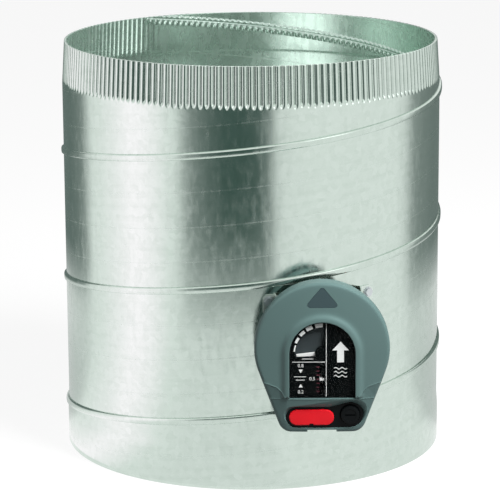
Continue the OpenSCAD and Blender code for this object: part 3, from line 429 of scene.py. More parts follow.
class Shape:
    """Points in millimetres and faces, gathered into one mesh; what adds to it gives the shape back."""

    def __init__(self):
        self.points, self.faces = [], []

    def add(self, points, faces):
        start = len(self.points)
        self.points += [tuple(p) for p in points]
        self.faces += [tuple(start + i for i in face) for face in faces]
        return self

    def grid(self, rows, round_trip=True, closed=False, caps=False):
        """Faces between rows of points; round_trip joins each row's ends, closed the first and last rows."""
        rows = np.asarray(rows, float)
        count, width = rows.shape[:2]
        faces = []
        for i in range(count if closed else count - 1):
            j = (i + 1) % count
            for k in range(width if round_trip else width - 1):
                m = (k + 1) % width
                faces.append((i * width + k, i * width + m, j * width + m, j * width + k))
        if caps:
            faces += [tuple(range(width))[::-1], tuple(range((count - 1) * width, count * width))]
        return self.add(rows.reshape(-1, 3), faces)

    def slab(self, outline, back, front):
        """A flat plate with the outline in x and z, between two distances out."""
        return self.grid([lifted(outline, back), lifted(outline, front)], caps=True)

    def bar(self, left, right, bottom, top, back, front):
        return self.slab([(left, bottom), (right, bottom), (right, top), (left, top)], back, front)

    def rounded_slab(self, circles, centre, back, front, edge, count, corners=(), steps=5):
        """A plate with the hull of circles as its outline and a rounded front edge."""
        angles = around(count, corners)
        rows = [lifted(hull(circles, centre, angles), back)]
        for k in range(steps + 1):
            turn = math.pi / 2 * k / steps
            outline = hull(circles, centre, angles, edge * (1 - math.cos(turn)))
            rows.append(lifted(outline, front - edge * (1 - math.sin(turn))))
        return self.grid(rows, caps=True)

    def numerals(self, text, x, z, height, back, front):
        """Plain figures, centred at x and z."""
        curve = bpy.data.curves.new("numerals", "FONT")
        curve.body, curve.size = text, height / FIGURE_SHARE
        curve.align_x, curve.align_y = "CENTER", "CENTER"
        curve.extrude = (front - back) / 2
        holder = bpy.data.objects.new("numerals", curve)
        mesh = bpy.data.meshes.new_from_object(holder)
        middle = (front + back) / 2
        self.add([(x + v.co.x, -middle - v.co.z, z + v.co.y) for v in mesh.vertices],
                 [tuple(p.vertices) for p in mesh.polygons])
        bpy.data.objects.remove(holder)
        bpy.data.curves.remove(curve)
        bpy.data.meshes.remove(mesh)

    def mesh(self, name):
        """The shape as a mesh, in metres."""
        made = bpy.data.meshes.new(name)
        made.from_pydata([(x * MM, y * MM, z * MM) for x, y, z in self.points], [], self.faces)
        return made

    def piece(self, name, finish, body, replaces=(), slot=None, sharp=30, solid=True):
        """Makes the object, smooth but for edges over the sharp angle, riding on its body if one is given."""
        made = placed(name, self.mesh(name))
        if solid:
            face_outward(made.data)
        smooth(made.data, sharp)
        made.data.materials.append(MATERIALS[finish])
        if body:
            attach(made, body)
        if replaces:
            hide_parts(*replaces)
        return made


def cut(target, *shapes):
    """Cuts shapes out of a piece, one after the other."""
    for shape in shapes:
        mesh = shape.mesh("cutter")
        face_outward(mesh)
        cutter = placed("cutter", mesh)
        step = target.modifiers.new("cut", "BOOLEAN")
        step.operation, step.solver, step.object = "DIFFERENCE", "EXACT", cutter
        bpy.context.view_layer.update()
        done = bpy.data.meshes.new_from_object(target.evaluated_get(bpy.context.evaluated_depsgraph_get()))
        target.modifiers.clear()
        old, target.data = target.data, done
        bpy.data.objects.remove(cutter)
        bpy.data.meshes.remove(mesh)
        bpy.data.meshes.remove(old)


# The duct

def ring(radius, turns, z):
    """Points about the duct's axis."""
    return np.column_stack([radius * np.cos(turns), radius * np.sin(turns), np.broadcast_to(z, turns.shape)])


def duct_surface(turn, z, crimps, depth):
    """Outer radius of the duct at a turn in radians and a height, with its socket, taper and crimps."""
    turn, z = np.broadcast_arrays(np.asarray(turn, float), np.asarray(z, float))
    radius = SOCKET_R - (SOCKET_R - DUCT_R) * eased(z, SOCKET_LEN - SOCKET_EASE, SOCKET_LEN + SOCKET_EASE)
    radius = radius + (CRIMP_RIM_R - DUCT_R) * np.clip((z - CRIMP_Z) / (DUCT_H - CRIMP_Z), 0, 1)
    place = (turn / math.tau % 1) * crimps
    number = np.floor(place).astype(int) % crimps
    offset = place % 1 - 0.5
    # Each crimp starts at its own height, as the rolls catch the sheet unevenly
    start = CRIMP_Z + 0.3 + 1.4 * np.random.RandomState(CRIMP_SEED).rand(crimps)[number]
    grown = eased(z, start, start + CRIMP_GROWTH)
    half_share = 0.26 + 0.12 * grown
    groove = np.where(np.abs(offset) < half_share, 0.5 + 0.5 * np.cos(math.pi * offset / half_share), 0)
    return radius - depth * grown * groove


def inner_surface(turn, z, crimps, depth):
    """Inner radius of the duct; the photo shows hardly any crimps inside, behind and at the right."""
    degrees = (np.degrees(turn) + 60) % 360
    flat = eased(degrees, 30, 55) * (1 - eased(degrees, 180, 192))
    radius = duct_surface(turn, z, crimps, depth * (1 - flat)) - WALL
    # Most of the step in comes with the gentle slope, so that no groove pokes through the wall
    step = 0.85 * eased(z, CRIMP_Z - 13, CRIMP_Z + 13) + 0.15 * eased(z, CRIMP_Z, CRIMP_Z + 1.6)
    return radius - depth * flat * step


class DuctBuild(bpy.types.Operator):
    """Builds the tube with its slip-over end below and its crimped end above, in one sheet"""
    bl_idname = "damper.duct"
    bl_label = "Duct"

    def execute(self, context):
        settings = context.scene.damper_duct
        crimps, depth = settings.crimp_count, settings.crimp_depth / MM
        # Places round each crimp, close together in its groove
        shares = np.array([0.0, 0.17, 0.3, 0.4, 0.5, 0.6, 0.7, 0.83])
        turns = np.concatenate([(k + shares) / crimps for k in range(crimps)]) * math.tau
        crimp_steps = (-13, -10, -7, -4, -2, 0, 0.7, 1.4, 2.1, 2.8, 3.5, 4.3, 5.2, 6.2, 7.4, 12, 20, 28, 36)
        heights = [0, 0.4, 0.9, *np.linspace(SOCKET_LEN - SOCKET_EASE, SOCKET_LEN + SOCKET_EASE, 7),
                   120, 200, 280, *(CRIMP_Z + step for step in crimp_steps)]
        heights += [DUCT_H - 0.8, DUCT_H - 0.3, DUCT_H]
        rows = []
        for surface, line, ease in ((duct_surface, heights, -RIM_EASE),
                                    (inner_surface, heights[::-1], RIM_EASE)):
            for z in line:
                radius = surface(turns, z, crimps, depth)
                rows.append(ring(radius + ease if z in (0, DUCT_H) else radius, turns, z))
        made = Shape().grid(rows, closed=True).piece(
            "duct_shell", "galvanised_sheet", "duct", ("duct_tube", "crimped_end"), sharp=50)
        # The inner faces take the steel's darker copy: painted shade of the duct's inside
        made.data.materials.append(MATERIALS["galvanised_inside"])
        row_number = np.arange(len(made.data.polygons)) // len(turns)
        made.data.polygons.foreach_set("material_index", (row_number >= len(heights)).astype(np.int32))
        # How deep each point lies in a crimp's groove, which the steel reads to paint shade into the grooves;
        # the inner rows get none
        groove = [(duct_surface(turns, z, crimps, 0) - duct_surface(turns, z, crimps, depth)) / depth
                  for z in heights]
        vertex_share(made.data, "groove", groove + [np.zeros(len(turns))] * len(heights))
        return {"FINISHED"}


def seam_strip(settings, profile, surface, low, high, steps=SEAM_STEPS):
    """Rows of a strip that winds along the seam, from one height to another.

    The profile gives the place across, as a share of the seam's half width, the rise off the sheet, and
    the depth of teeth pressed in, if any.
    """
    crimps, depth = settings.crimp_count, settings.crimp_depth / MM
    first, last = ((z - SEAM_LEFT_Z) / SEAM_PITCH * steps for z in (low, high))
    counts = np.arange(math.ceil(first), math.floor(last) + 1)
    turns = counts / steps * math.tau - math.pi
    centre = SEAM_LEFT_Z + SEAM_PITCH * counts / steps
    rows = []
    for share, rise, *teeth in profile:
        z = np.clip(centre + SEAM_HALF_W * share, 0.3, DUCT_H - 0.3)
        radius = surface(turns, z, crimps, depth) + rise
        if teeth:
            radius = radius + teeth[0] * (0.5 + 0.5 * np.cos(crimps * turns))
        elif rise > 0:
            # The rolls flatten the seam where they crimp it
            radius = radius - rise * 0.86 * eased(centre, CRIMP_Z - 2, CRIMP_Z + 5)
        rows.append(ring(radius, turns, z))
    return rows


class SeamsBuild(bpy.types.Operator):
    """Builds the folded lock seam outside, and its flat trace inside, toothed where the sheet is crimped"""
    bl_idname = "damper.seams"
    bl_label = "Seams"

    def execute(self, context):
        settings = context.scene.damper_duct
        rise, fine = settings.seam_rise / MM, settings.crimp_count * 8
        fold = ((-0.97, 0.5), (-0.8, 0.85), (-0.5, 0.97), (0, 1), (0.5, 0.98), (0.8, 0.86), (0.97, 0.5))
        fold = [(-1, -0.3), *((share, part * rise) for share, part in fold), (1, -0.3)]
        trace = [(-1.1, 0.2), (-1, -0.35), (0, -0.4), (1, -0.35), (1.1, 0.2)]
        toothed = [(-2.0, 0.15), (-1.8, 0.05, -1.0), (-1.3, 0.0, -1.8), (-0.75, 0.0, -1.6), (-0.5, -0.9),
                   (-0.1, -1.0), (0.1, -0.6), (0.3, -1.0), (0.7, -0.9), (0.9, -0.2, -0.9), (1.2, 0.2, -0.7),
                   (1.35, 0.2)]
        outside, inside = Shape(), Shape()
        for shape, *strip in ((outside, fold, duct_surface, 1, CRIMP_Z - 3),
                              (outside, fold, duct_surface, CRIMP_Z - 3.3, DUCT_H - 1, fine),
                              (inside, trace, inner_surface, SOCKET_LEN + 12, CRIMP_Z - 3),
                              (inside, toothed, inner_surface, CRIMP_Z - 3, DUCT_H - 1, fine)):
            shape.grid(seam_strip(settings, *strip), round_trip=False)
        outside.piece("seam_outside", "galvanised_sheet", "duct", ("lock_seam",), sharp=60, solid=False)
        # The inner seam takes the steel's darker copy: painted shade of the duct's inside
        inside.piece("seam_inside", "galvanised_inside", "duct", slot="galvanised_sheet", sharp=50,
                     solid=False)
        return {"FINISHED"}


# The cover

BOX_CIRCLES = [(SHAFT_X, BOX_Z, BOX_R), (SHAFT_X - BOX_FOOT, BOX_BOTTOM + BOX_CORNER_R, BOX_CORNER_R),
               (SHAFT_X + BOX_FOOT, BOX_BOTTOM + BOX_CORNER_R, BOX_CORNER_R)]
ARCH = [(SHAFT_X, SHAFT_Z, WINDOW_R), (SHAFT_X - WINDOW_R, WINDOW_BOTTOM, 0),
        (SHAFT_X + WINDOW_R, WINDOW_BOTTOM, 0)]
ARCH_CENTRE = (SHAFT_X, 128.0)
ARCH_CORNERS = [math.atan2(WINDOW_BOTTOM - ARCH_CENTRE[1], side * WINDOW_R) for side in (-1, 1)]
# The curved crease over each lower cheek, as half widths and heights over the chin's crease
CHEEK = ((31.9, 0.3), (35.5, 6.2), (40.5, 11.0), (52.5, 15.2))
DOME = 3.6
CROWN = 2.6
BEAD = 0.3
BEAD_HALF_W = 0.7
# The window frame's rounded shoulder, as shares of its width and of its rise
SHOULDER = ((0.14, 0.99), (0.3, 0.95), (0.44, 0.84), (0.56, 0.62), (0.67, 0.35), (0.8, 0.11), (1.0, 0.0))


def cheek_lines():
    """Each straight part of the cheek's crease as a point on it and its normal, pointing down and out."""
    lines = []
    for (ax, az), (bx, bz) in zip(CHEEK, CHEEK[1:]):
        length = math.hypot(bx - ax, bz - az)
        lines.append(((ax, CREASE_Z + az), ((bz - az) / length, -(bx - ax) / length)))
    return lines


CHEEK_LINES = cheek_lines()


def below_cheek(x, z):
    """How far a place lies below the cheek's crease, or over it if negative."""
    half_w = abs(x - SHAFT_X)
    return min((half_w - px) * nx + (z - pz) * nz for (px, pz), (nx, nz) in CHEEK_LINES)


def chin_drop(x, z, chin, cheek):
    """How far the face lies back: at its domed sides and crown, at the cheeks and on the chin."""
    below = below_cheek(x, max(z, CREASE_Z))
    drop = max(0, below) * cheek + max(0, CREASE_Z - z) * chin + DOME * ((x - SHAFT_X) / BOX_R) ** 2
    drop += CROWN * (max(0, z - SHAFT_Z) / BOX_R) ** 2
    # A fine rounded bead along the creases
    off = abs(z - CREASE_Z)
    if z > CREASE_Z:
        off = min(off, abs(below))
    return drop - BEAD * max(0, 1 - off / BEAD_HALF_W)


def fold_chin(mesh, chin, cheek):
    """Splits the face along its creases and beads, and lays the lower parts back."""
    work = bmesh.new()
    work.from_mesh(mesh)
    lines = [((0, 0, (CREASE_Z + s * BEAD_HALF_W) * MM), (0, 0, 1)) for s in (-1, 0, 1)]
    for side in (-1, 1):
        for (px, pz), (nx, nz) in CHEEK_LINES:
            for s in (-1, 0, 1):
                x, z = px + nx * s * BEAD_HALF_W, pz + nz * s * BEAD_HALF_W
                lines.append((((SHAFT_X + side * x) * MM, 0, z * MM), (side * nx, 0, nz)))
        for (_, first), ((px, pz), second) in zip(CHEEK_LINES, CHEEK_LINES[1:]):
            lines.append((((SHAFT_X + side * px) * MM, 0, pz * MM),
                          (side * (first[0] - second[0]), 0, first[1] - second[1])))
    for place, facing in lines:
        bmesh.ops.bisect_plane(work, geom=work.verts[:] + work.edges[:] + work.faces[:], dist=1e-7,
                               plane_co=place, plane_no=facing)
    for v in work.verts:
        if -v.co.y / MM > COVER_BACK + 5:
            v.co.y += chin_drop(v.co.x / MM, v.co.z / MM, chin, cheek) * MM
    work.to_mesh(mesh)
    work.free()


class CoverBuild(bpy.types.Operator):
    """Builds the shell of the control box: a domed face, a raised window frame and a sloping chin"""
    bl_idname = "damper.cover"
    bl_label = "Cover"

    def execute(self, context):
        settings = context.scene.damper_box
        bezel_w, bezel_rise = settings.bezel_width / MM, settings.bezel_rise / MM
        angles = around(480, ARCH_CORNERS)
        arch = partial(reach, ARCH, ARCH_CENTRE, angles)
        outer = partial(reach, BOX_CIRCLES, ARCH_CENTRE, angles)

        def row(lengths, d, raised=False):
            x, z = ray_points(ARCH_CENTRE, angles, lengths).T
            share = eased(z, WINDOW_BOTTOM - 0.2, WINDOW_BOTTOM + 1.4) if raised else 1
            return np.column_stack([x, np.full(len(z), -(FACE_D + (d - FACE_D) * share)), z])

        top, inside = FACE_D + bezel_rise, FACE_D - COVER_WALL
        rows = [row(arch(0), inside), row(arch(0), top - 0.5, True), row(arch(-0.5), top, True)]
        rows += [row(arch(-bezel_w * share), FACE_D + bezel_rise * part, True) for share, part in SHOULDER]
        near, far = arch(-bezel_w), outer(EDGE_ROUND)
        rows += [row(near + (far - near) * share, FACE_D) for share in (0.12, 0.26, 0.42, 0.58, 0.74, 0.88)]
        for turn in (math.pi / 2 * k / 6 for k in range(7)):
            span = outer(EDGE_ROUND * (1 - math.sin(turn)))
            rows.append(row(span, FACE_D - EDGE_ROUND * (1 - math.cos(turn))))
        rows += [row(outer(inset), d) for inset, d in (
            (0, COVER_BACK + 4), (0, COVER_BACK + 0.3), (0.3, COVER_BACK), (COVER_WALL, COVER_BACK),
            (COVER_WALL, COVER_BACK + 4), (COVER_WALL + 0.2, inside))]
        rows += [row(near + (far - near) * 0.6, inside), row(near, inside)]
        made = Shape().grid(rows, closed=True).piece(
            "cover_shell", "grey_moulded_abs", "cover", ("front_cover",))
        fold_chin(made.data, math.tan(settings.chin_tilt), math.tan(settings.cheek_tilt))
        # Here and below, what cuts runs one to four millimetres past what it cuts
        cut(made, Shape().slab(fascia_edge(LIP_W), COVER_BACK - 3, FACE_D + 4),
            Shape().slab(arrow_outline(ARROW_GAP), ARROW_BACK, FACE_D + 3),
            Shape().bar(SHAFT_X - FOOT_NOTCH_HALF_W, SHAFT_X + FOOT_NOTCH_HALF_W, BOX_BOTTOM - 2,
                        BOX_BOTTOM + FOOT_NOTCH_H, COVER_BACK - 3, FACE_D))
        face_outward(made.data)
        smooth(made.data, 28)
        return {"FINISHED"}


def arrow_outline(margin):
    """The lift arrow's rounded triangle, moved out by a margin."""
    (left, _, foot), (right, _, tip) = cad_box("lift_arrow")
    corner_r, middle = 2.4, (left + right) / 2
    low = foot + corner_r
    corners = ((left + corner_r, low), (right - corner_r, low), (middle, tip - corner_r))
    return hull([(x, z, corner_r + margin) for x, z in corners], (middle, foot + 6), around(120))


class ArrowBuild(bpy.types.Operator):
    """Builds the slate inlay of the lift arrow, just below the crowned face"""
    bl_idname = "damper.arrow"
    bl_label = "Lift arrow"

    def execute(self, context):
        front = [(x, -(FACE_D - ARROW_SUNK - chin_drop(x, z, 0, 0)), z) for x, z in arrow_outline(0)]
        Shape().grid([lifted(arrow_outline(0), ARROW_BACK), front], caps=True).piece(
            "arrow_inlay", "slate_inlay", "cover", ("lift_arrow",), slot="black_moulded_abs")
        return {"FINISHED"}


FASCIA_MIDDLE = (SHAFT_X + 7.5, BADGE_Z)
FASCIA_ANGLES = around(240)


def fascia_edge(margin):
    """Outline of the opening round the badge and knob, moved out by a margin, or by one at each angle."""
    half_h = BADGE_H / 2 + 2.3
    left = (BADGE_X - (BADGE_W - BADGE_H) / 2, BADGE_Z, half_h)
    middle = (*FASCIA_MIDDLE, half_h)
    knob = (KNOB_X, KNOB_Z, RECESS_R)
    spans = [reach(pair, FASCIA_MIDDLE, FASCIA_ANGLES) for pair in ([left, middle], [middle, knob])]
    return ray_points(FASCIA_MIDDLE, FASCIA_ANGLES, np.maximum(*spans) + margin)


def lip_width():
    """Width of the lip round the opening: wide above it, as far as the chin's crease leaves room."""
    thin, up = 0.8, np.sin(FASCIA_ANGLES)
    room = (CREASE_Z - thin - fascia_edge(0)[:, 1]) / np.maximum(up, 0.25)
    return thin + eased(up, -0.2, 0.5) * np.clip(room - thin, 0, 5.5)


LIP_W = lip_width()


class FasciaBuild(bpy.types.Operator):
    """Builds the rounded lip of the opening in the chin, and the black plate in it"""
    bl_idname = "damper.fascia"
    bl_label = "Fascia"

    def execute(self, context):
        settings = context.scene.damper_box
        chin, cheek = math.tan(settings.chin_tilt), math.tan(settings.cheek_tilt)
        rows = []
        for share in (0, 0.15, 0.3, 0.45, 0.6, 0.75, 0.88, 1):
            rows.append([(x, -(FACE_D - chin_drop(x, z, chin, cheek) - LIP_DROP * share ** LIP_CURVE), z)
                         for x, z in fascia_edge(LIP_W * (1 - share))])
        rows += [lifted(fascia_edge(0), LIP_BACK), lifted(fascia_edge(LIP_W), LIP_BACK)]
        Shape().grid(rows, closed=True).piece(
            "fascia_lip", "grey_moulded_abs", "cover", ("front_cover",), sharp=50)
        plate = Shape().slab(fascia_edge(0.25), PLATE_BACK, FASCIA_D)
        made = plate.piece("fascia_plate", "black_moulded_abs", "cover", ("fascia_insert",))
        hole = hull([(KNOB_X, KNOB_Z, KNOB_R + KNOB_GAP)], (KNOB_X, KNOB_Z), around(96))
        cut(made, Shape().slab(hole, PLATE_BACK - 2, FASCIA_D + 2))
        smooth(made.data, 30)
        return {"FINISHED"}


class WindowBuild(bpy.types.Operator):
    """Builds the clear window in the cover"""
    bl_idname = "damper.window"
    bl_label = "Window"

    def execute(self, context):
        shape = Shape().rounded_slab(
            ARCH, ARCH_CENTRE, DIAL_FRONT + 0.3, WINDOW_FRONT, 0.4, 240, ARCH_CORNERS, steps=3)
        # The window is a little smaller than its opening
        share, middle_z = 0.994, 131
        shape.points = [(SHAFT_X + (x - SHAFT_X) * share, y, middle_z + (z - middle_z) * share)
                        for x, y, z in shape.points]
        shape.piece("window", "clear_polycarbonate", "cover", ("window_lens",))
        return {"FINISHED"}


# The dial

def arc_dash(inner, width, angle, length):
    """Outline of a dash along an arc about the shaft."""
    half = length / (inner + width / 2) / 2
    turns = np.linspace(math.radians(angle) - half, math.radians(angle) + half, 9)
    return [(SHAFT_X + r * math.cos(t), SHAFT_Z + r * math.sin(t))
            for r, line in ((inner + width, turns), (inner, turns[::-1])) for t in line]


class DialBuild(bpy.types.Operator):
    """Prints the dial's scale dashes, dividers, figures, ticks and flow arrow"""
    bl_idname = "damper.dial"
    bl_label = "Dial print"

    def execute(self, context):
        ink, ticks = Shape(), Shape()
        # Angle, length and width of each dash: they narrow towards the pointer's place at rest
        scale_r = 24.1
        dashes = ((96.3, 6.8, 3.5), (116.2, 5.9, 3.5), (133.5, 5.3, 2.9), (151, 5.3, 2.3), (168.5, 5.9, 1.2))
        for angle, length, width in dashes:
            ink.slab(arc_dash(scale_r, width, angle, length), *PRINT)
        # The two dividers, and three short thin bars beside the scale
        for left, right, bottom, top in ((64.75, 65.25, CREASE_Z + 2, SHAFT_Z + 27.4), (35, 64, 128.2, 128.7),
                                         (36.5, 47.2, 114.72, 115.28), (38, 46, 111.72, 112.28),
                                         (43.5, 53.5, 131.02, 131.58)):
            ink.bar(left, right, bottom, top, *PRINT)
        for text, x, z in (("0.8", 42.4, 125.0), ("0.2", 42.4, 101.0), ("0.5", 52.6, 113.0)):
            ink.numerals(text, x, z, 3.0, *PRINT)
        ink.slab([(42.4, 118.4), (44.3, 121.6), (40.5, 121.6)], *PRINT)
        ink.slab([(40.5, 105.2), (44.3, 105.2), (42.4, 108.4)], *PRINT)
        # Flow arrow, and three wavy lines of air below it
        flow_x, stem, barb = 77.6, 3.0, 7.4
        foot, neck, tip = 128, 139, 147
        arrow = ((-stem, foot), (stem, foot), (stem, neck), (barb, neck), (0, tip), (-barb, neck),
                 (-stem, neck))
        ink.slab([(flow_x + x, z) for x, z in arrow], *PRINT)
        wave_half, swing, line_half = 5.8, 0.8, 0.38
        along = np.linspace(-wave_half, wave_half, 40)
        for z in (122.6, 119.0, 115.4):
            wave = z + swing * np.sin(along / wave_half * math.tau)
            outline = [(flow_x + a, b - line_half) for a, b in zip(along, wave)]
            outline += [(flow_x + a, b + line_half) for a, b in zip(along[::-1], wave[::-1])]
            ink.slab(outline, *PRINT)
        # Ticks of the set-point scale
        lowest, pitch, half_h = 101.5, 3.733, 0.28
        for z in (lowest + k * pitch for k in range(7)):
            ticks.bar(56.5, 59.0, z - half_h, z + half_h, *PRINT)
        ticks.piece("dial_ticks", "red_ink", "cover", slot="black_printed_plate")
        ink.piece("dial_print", "white_ink", "cover", slot="black_printed_plate")
        return {"FINISHED"}


class PointerBuild(bpy.types.Operator):
    """Builds the blade's pointer: a white bar on a black hub"""
    bl_idname = "damper.pointer"
    bl_label = "Pointer"

    def execute(self, context):
        back, front = POINTER_BACK, POINTER_BACK + POINTER_T
        # The bar leans a little below level, as in the photo, and tapers to its tip
        lean, drop, hub_r = math.radians(4.4), 0.4, 6.0
        (tip, tip_w), (root, root_w) = (22.8, 1.1), (5.5, 1.7)
        outline = [(SHAFT_X - r * math.cos(lean) - w * math.sin(lean),
                    SHAFT_Z - drop - r * math.sin(lean) + w * math.cos(lean))
                   for r, w in ((tip, -tip_w), (root, -root_w), (root, root_w), (tip, tip_w))]
        Shape().slab(outline, back, front).piece(
            "pointer_bar", "white_ink", "blade_set", ("pointer",), slot="white_acetal")
        centre = (SHAFT_X, SHAFT_Z)
        Shape().rounded_slab([(*centre, hub_r)], centre, back - 0.05, front + 0.25, 0.4, 64).piece(
            "pointer_hub", "black_moulded_abs", "blade_set", ("pointer",))
        return {"FINISHED"}


class BadgeBuild(bpy.types.Operator):
    """Builds the badge: a glossy red pill with softly rounded edges"""
    bl_idname = "damper.badge"
    bl_label = "Badge"

    def execute(self, context):
        ends = [(BADGE_X + side * (BADGE_W - BADGE_H) / 2, BADGE_Z, BADGE_H / 2) for side in (-1, 1)]
        pill = Shape().rounded_slab(ends, (BADGE_X, BADGE_Z), FASCIA_D, BADGE_FRONT, 1.1, 160, steps=6)
        made = pill.piece("badge_pill", "red_gloss_plastic", "cover", ("badge",))
        half_w, bottom, height = 1.7, BADGE_LOW[2], 1.8
        cut(made, Shape().bar(BADGE_X - half_w, BADGE_X + half_w, bottom - 1, bottom + height,
                              FASCIA_D - 1, BADGE_FRONT + 1.8))
        smooth(made.data, 40)
        return {"FINISHED"}


class KnobBuild(bpy.types.Operator):
    """Builds the set-point knob: fluted, with a rounded front edge and a screwdriver slot"""
    bl_idname = "damper.knob"
    bl_label = "Knob"

    def execute(self, context):
        flutes = 24
        turns = around(flutes * 12)
        groove = FLUTE_DEPTH * (0.5 + 0.5 * np.cos(flutes * turns)) ** 2
        rows = []
        for inset, d, share in ((0.3, KNOB_BACK, 1), (0, KNOB_BACK + 0.3, 1), (0, KNOB_FRONT - 1, 1),
                                (0.3, KNOB_FRONT - 0.3, 0.7), (0.9, KNOB_FRONT, 0.3), (3.0, KNOB_FRONT, 0),
                                (3.4, KNOB_FRONT - 0.5, 0)):
            rows.append(lifted(ray_points((KNOB_X, KNOB_Z), turns, KNOB_R - inset - groove * share), d))
        made = Shape().grid(rows, caps=True).piece(
            "setting_knob", "black_moulded_abs", "setpoint_knob", ("knob",))
        half_w, half_h, depth = 4.6, 0.7, 2.2
        cut(made, Shape().bar(KNOB_X - half_w, KNOB_X + half_w, KNOB_Z - half_h, KNOB_Z + half_h,
                              KNOB_FRONT - depth, KNOB_FRONT + 1))
        smooth(made.data, 35)
        return {"FINISHED"}


def tube(path, radius, sides=8):
    """Rows of points of a round wire along a path."""
    path = np.asarray(path, float)
    along = np.gradient(path, axis=0)
    along /= np.linalg.norm(along, axis=1)[:, None]
    side = np.cross(along[0], (0.3, 0.9, 0.2))
    rows = []
    turns = around(sides)
    for point, ahead in zip(path, along):
        side = side - ahead * side.dot(ahead)
        side /= np.linalg.norm(side)
        other = np.cross(ahead, side)
        rows.append(point + radius * (np.outer(np.cos(turns), side) + np.outer(np.sin(turns), other)))
    return rows


class SpringBuild(bpy.types.Operator):
    """Winds the tension spring between its two pins, in two halves"""
    bl_idname = "damper.spring"
    bl_label = "Spring"

    def execute(self, context):
        coil_r, hook_r, wire_r, rise, curls = 2.6, 2.2, 0.5, 2.0, 14.5
        low, high = (np.array(cad_middle(name))[[0, 2]] for name in ("anchor_pin", "spring_pin"))
        span = float(np.linalg.norm(high - low))
        up = (high - low) / span
        side = np.array([up[1], -up[0]])
        margin = (span - rise * curls) / 2
        hook = np.radians(np.arange(-140, 91, 12))
        path = [(hook_r * math.sin(t), 0, -hook_r * math.cos(t)) for t in hook]
        path += [(hook_r + 0.2 * s, 0, margin * s * 0.96) for s in (0.35, 0.7)]
        for t in np.linspace(0, curls * math.tau, int(curls * 16) + 1):
            path.append((coil_r * math.cos(t), coil_r * math.sin(t), margin + rise * t / math.tau))
        path += [(-hook_r - 0.2 * s, 0, span - margin * s * 0.96) for s in (0.7, 0.35)]
        hook = np.radians(np.arange(90, -141, -12))
        path += [(-hook_r * math.sin(t), 0, span + hook_r * math.cos(t)) for t in hook]
        points = []
        for u, v, w in path:
            x, z = low + side * u + up * w
            points.append((x, -SPRING_D - v, z))
        middle = len(points) // 2
        ends = [(float(x) * MM, -SPRING_D * MM, float(z) * MM) for x, z in (low, (low + high) / 2, high)]
        halves = (("spring_lower", points[:middle + 1], "carriage", "duct", ends[0], ends[1]),
                  ("spring_upper", points[middle:], "duct", "blade_set", ends[1], ends[2]))
        for name, part, first, second, start, end in halves:
            made = Shape().grid(tube(part, wire_r), caps=True).piece(
                name, "spring_steel", None, ("tension_spring",), sharp=60)
            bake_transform(made)
            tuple(start)
            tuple(end)
        return {"FINISHED"}


class NodesDress(bpy.types.Operator):
    """Gives every CAD piece that is shown its procedural finish"""
    bl_idname = "damper.nodes"
    bl_label = "CAD finishes"

    def execute(self, context):
        for name, made in frame["nodes"].items():
            finish = MATERIALS[NODE_FINISH.get(name) or node_slot(name)]
            for slot in made.material_slots:
                slot.material = finish
        return {"FINISHED"}


# The studio

WHITE = (1, 1, 1, 1)
FLOOR_HALF_W, FLOOR_GAP = 30, 0.0004

# Cards that only mirrors show: cover by degrees off the front, and its share by radius and height
FLAG_FRONT = ((-42, 0), (-40, 0.05), (-37, 0.33), (-34.5, 0.6), (-30, 0.8), (-22, 0.93), (-14, 1), (0, 1),
              (5.3, 0.95), (8.3, 0.86), (10.7, 0.5), (13, 0.12), (22, 0.03), (32, 0))
FRONT_ROWS = ((0.18, 0.002, 0.07), (0.46, 0.002, 0.09), (0.64, 0.011, 0.12), (0.64, 0.03, 0.27),
              (0.64, 0.056, 0.56), (0.64, 0.09, 0.82), (0.64, 0.123, 0.96), (0.64, 0.16, 1), (0.64, 0.5, 1))
FLAG_LEFT = ((-172, 0.92), (-124, 0.92), (-112, 0.86), (-106, 0.8), (-101, 0.5), (-96.5, 0.05), (-93, 0))
FLAG_RIGHT = ((80, 0), (87, 0.08), (92, 0.3), (97, 0.7), (106, 0.8), (125, 0.88), (172, 0.92))
SIDE_ROWS = ((0.185, 0.002, 0.45), (0.4, 0.002, 0.4), (0.5, 0.01, 0.3), (0.5, 0.044, 0.28),
             (0.5, 0.075, 0.75), (0.5, 0.105, 1), (0.5, 0.45, 1))
REFLECTOR = ((-98, 0), (-91, 0.12), (-78, 0.55), (-68, 1), (-61, 0.95), (-52, 0.55), (-44, 0))
REFLECTOR_ROWS = ((0.18, 0.003, 0.8), (0.66, 0.003, 1), (0.66, 0.5, 1))
# Shows in the plastics only, since the steel wall mirrors what lies below it
UPPER_CARD = ((20, 0), (27, 0.5), (33, 1), (41, 1), (49, 0.5), (58, 0))
UPPER_ROWS = ((0.64, 0.44, 0), (0.64, 0.48, 1), (0.64, 0.62, 1), (0.64, 0.68, 0))
FLAG_TINT = "#84A49C"

# The camera, from the photo's rims and seams
CAMERA_PLACE = (0, -2.3344, 0.7309)
CAMERA_TILT, CAMERA_ROLL = math.radians(12.914), math.radians(0.339)
CAMERA_SHIFT = (-0.0037, -0.0299)
CAMERA_LENS, CAMERA_SENSOR = 180.0, 36.0


def glossy_card(name, columns, rows, level, tint):
    """A curved card that is seen only in reflections, with soft edges."""
    angles = np.linspace(columns[0][0], columns[-1][0], 64)
    cover = np.interp(angles, *zip(*columns))
    curve = [(math.sin(t) / MM, -math.cos(t) / MM) for t in np.radians(angles)]
    card = placed(name, Shape().grid([[(r * x, r * y, z / MM) for x, y in curve] for r, z, _ in rows],
                                     round_trip=False).mesh(name))
    vertex_share(card.data, "cover", [cover * part for _, _, part in rows])
    material = bpy.data.materials.new(name)
    add = cleared(material)
    glow = add("Emission", {"Color": rgba(tint), "Strength": level})
    known = add("Attribute", out="Fac", attribute_name="cover")
    both = add("MixShader", {0: known, 1: add("BsdfTransparent"), 2: glow})
    add("OutputMaterial", {"Surface": both})
    card.data.materials.append(material)
    for ray in ("camera", "diffuse", "transmission", "volume_scatter", "shadow"):
        setattr(card, "visible_" + ray, False)


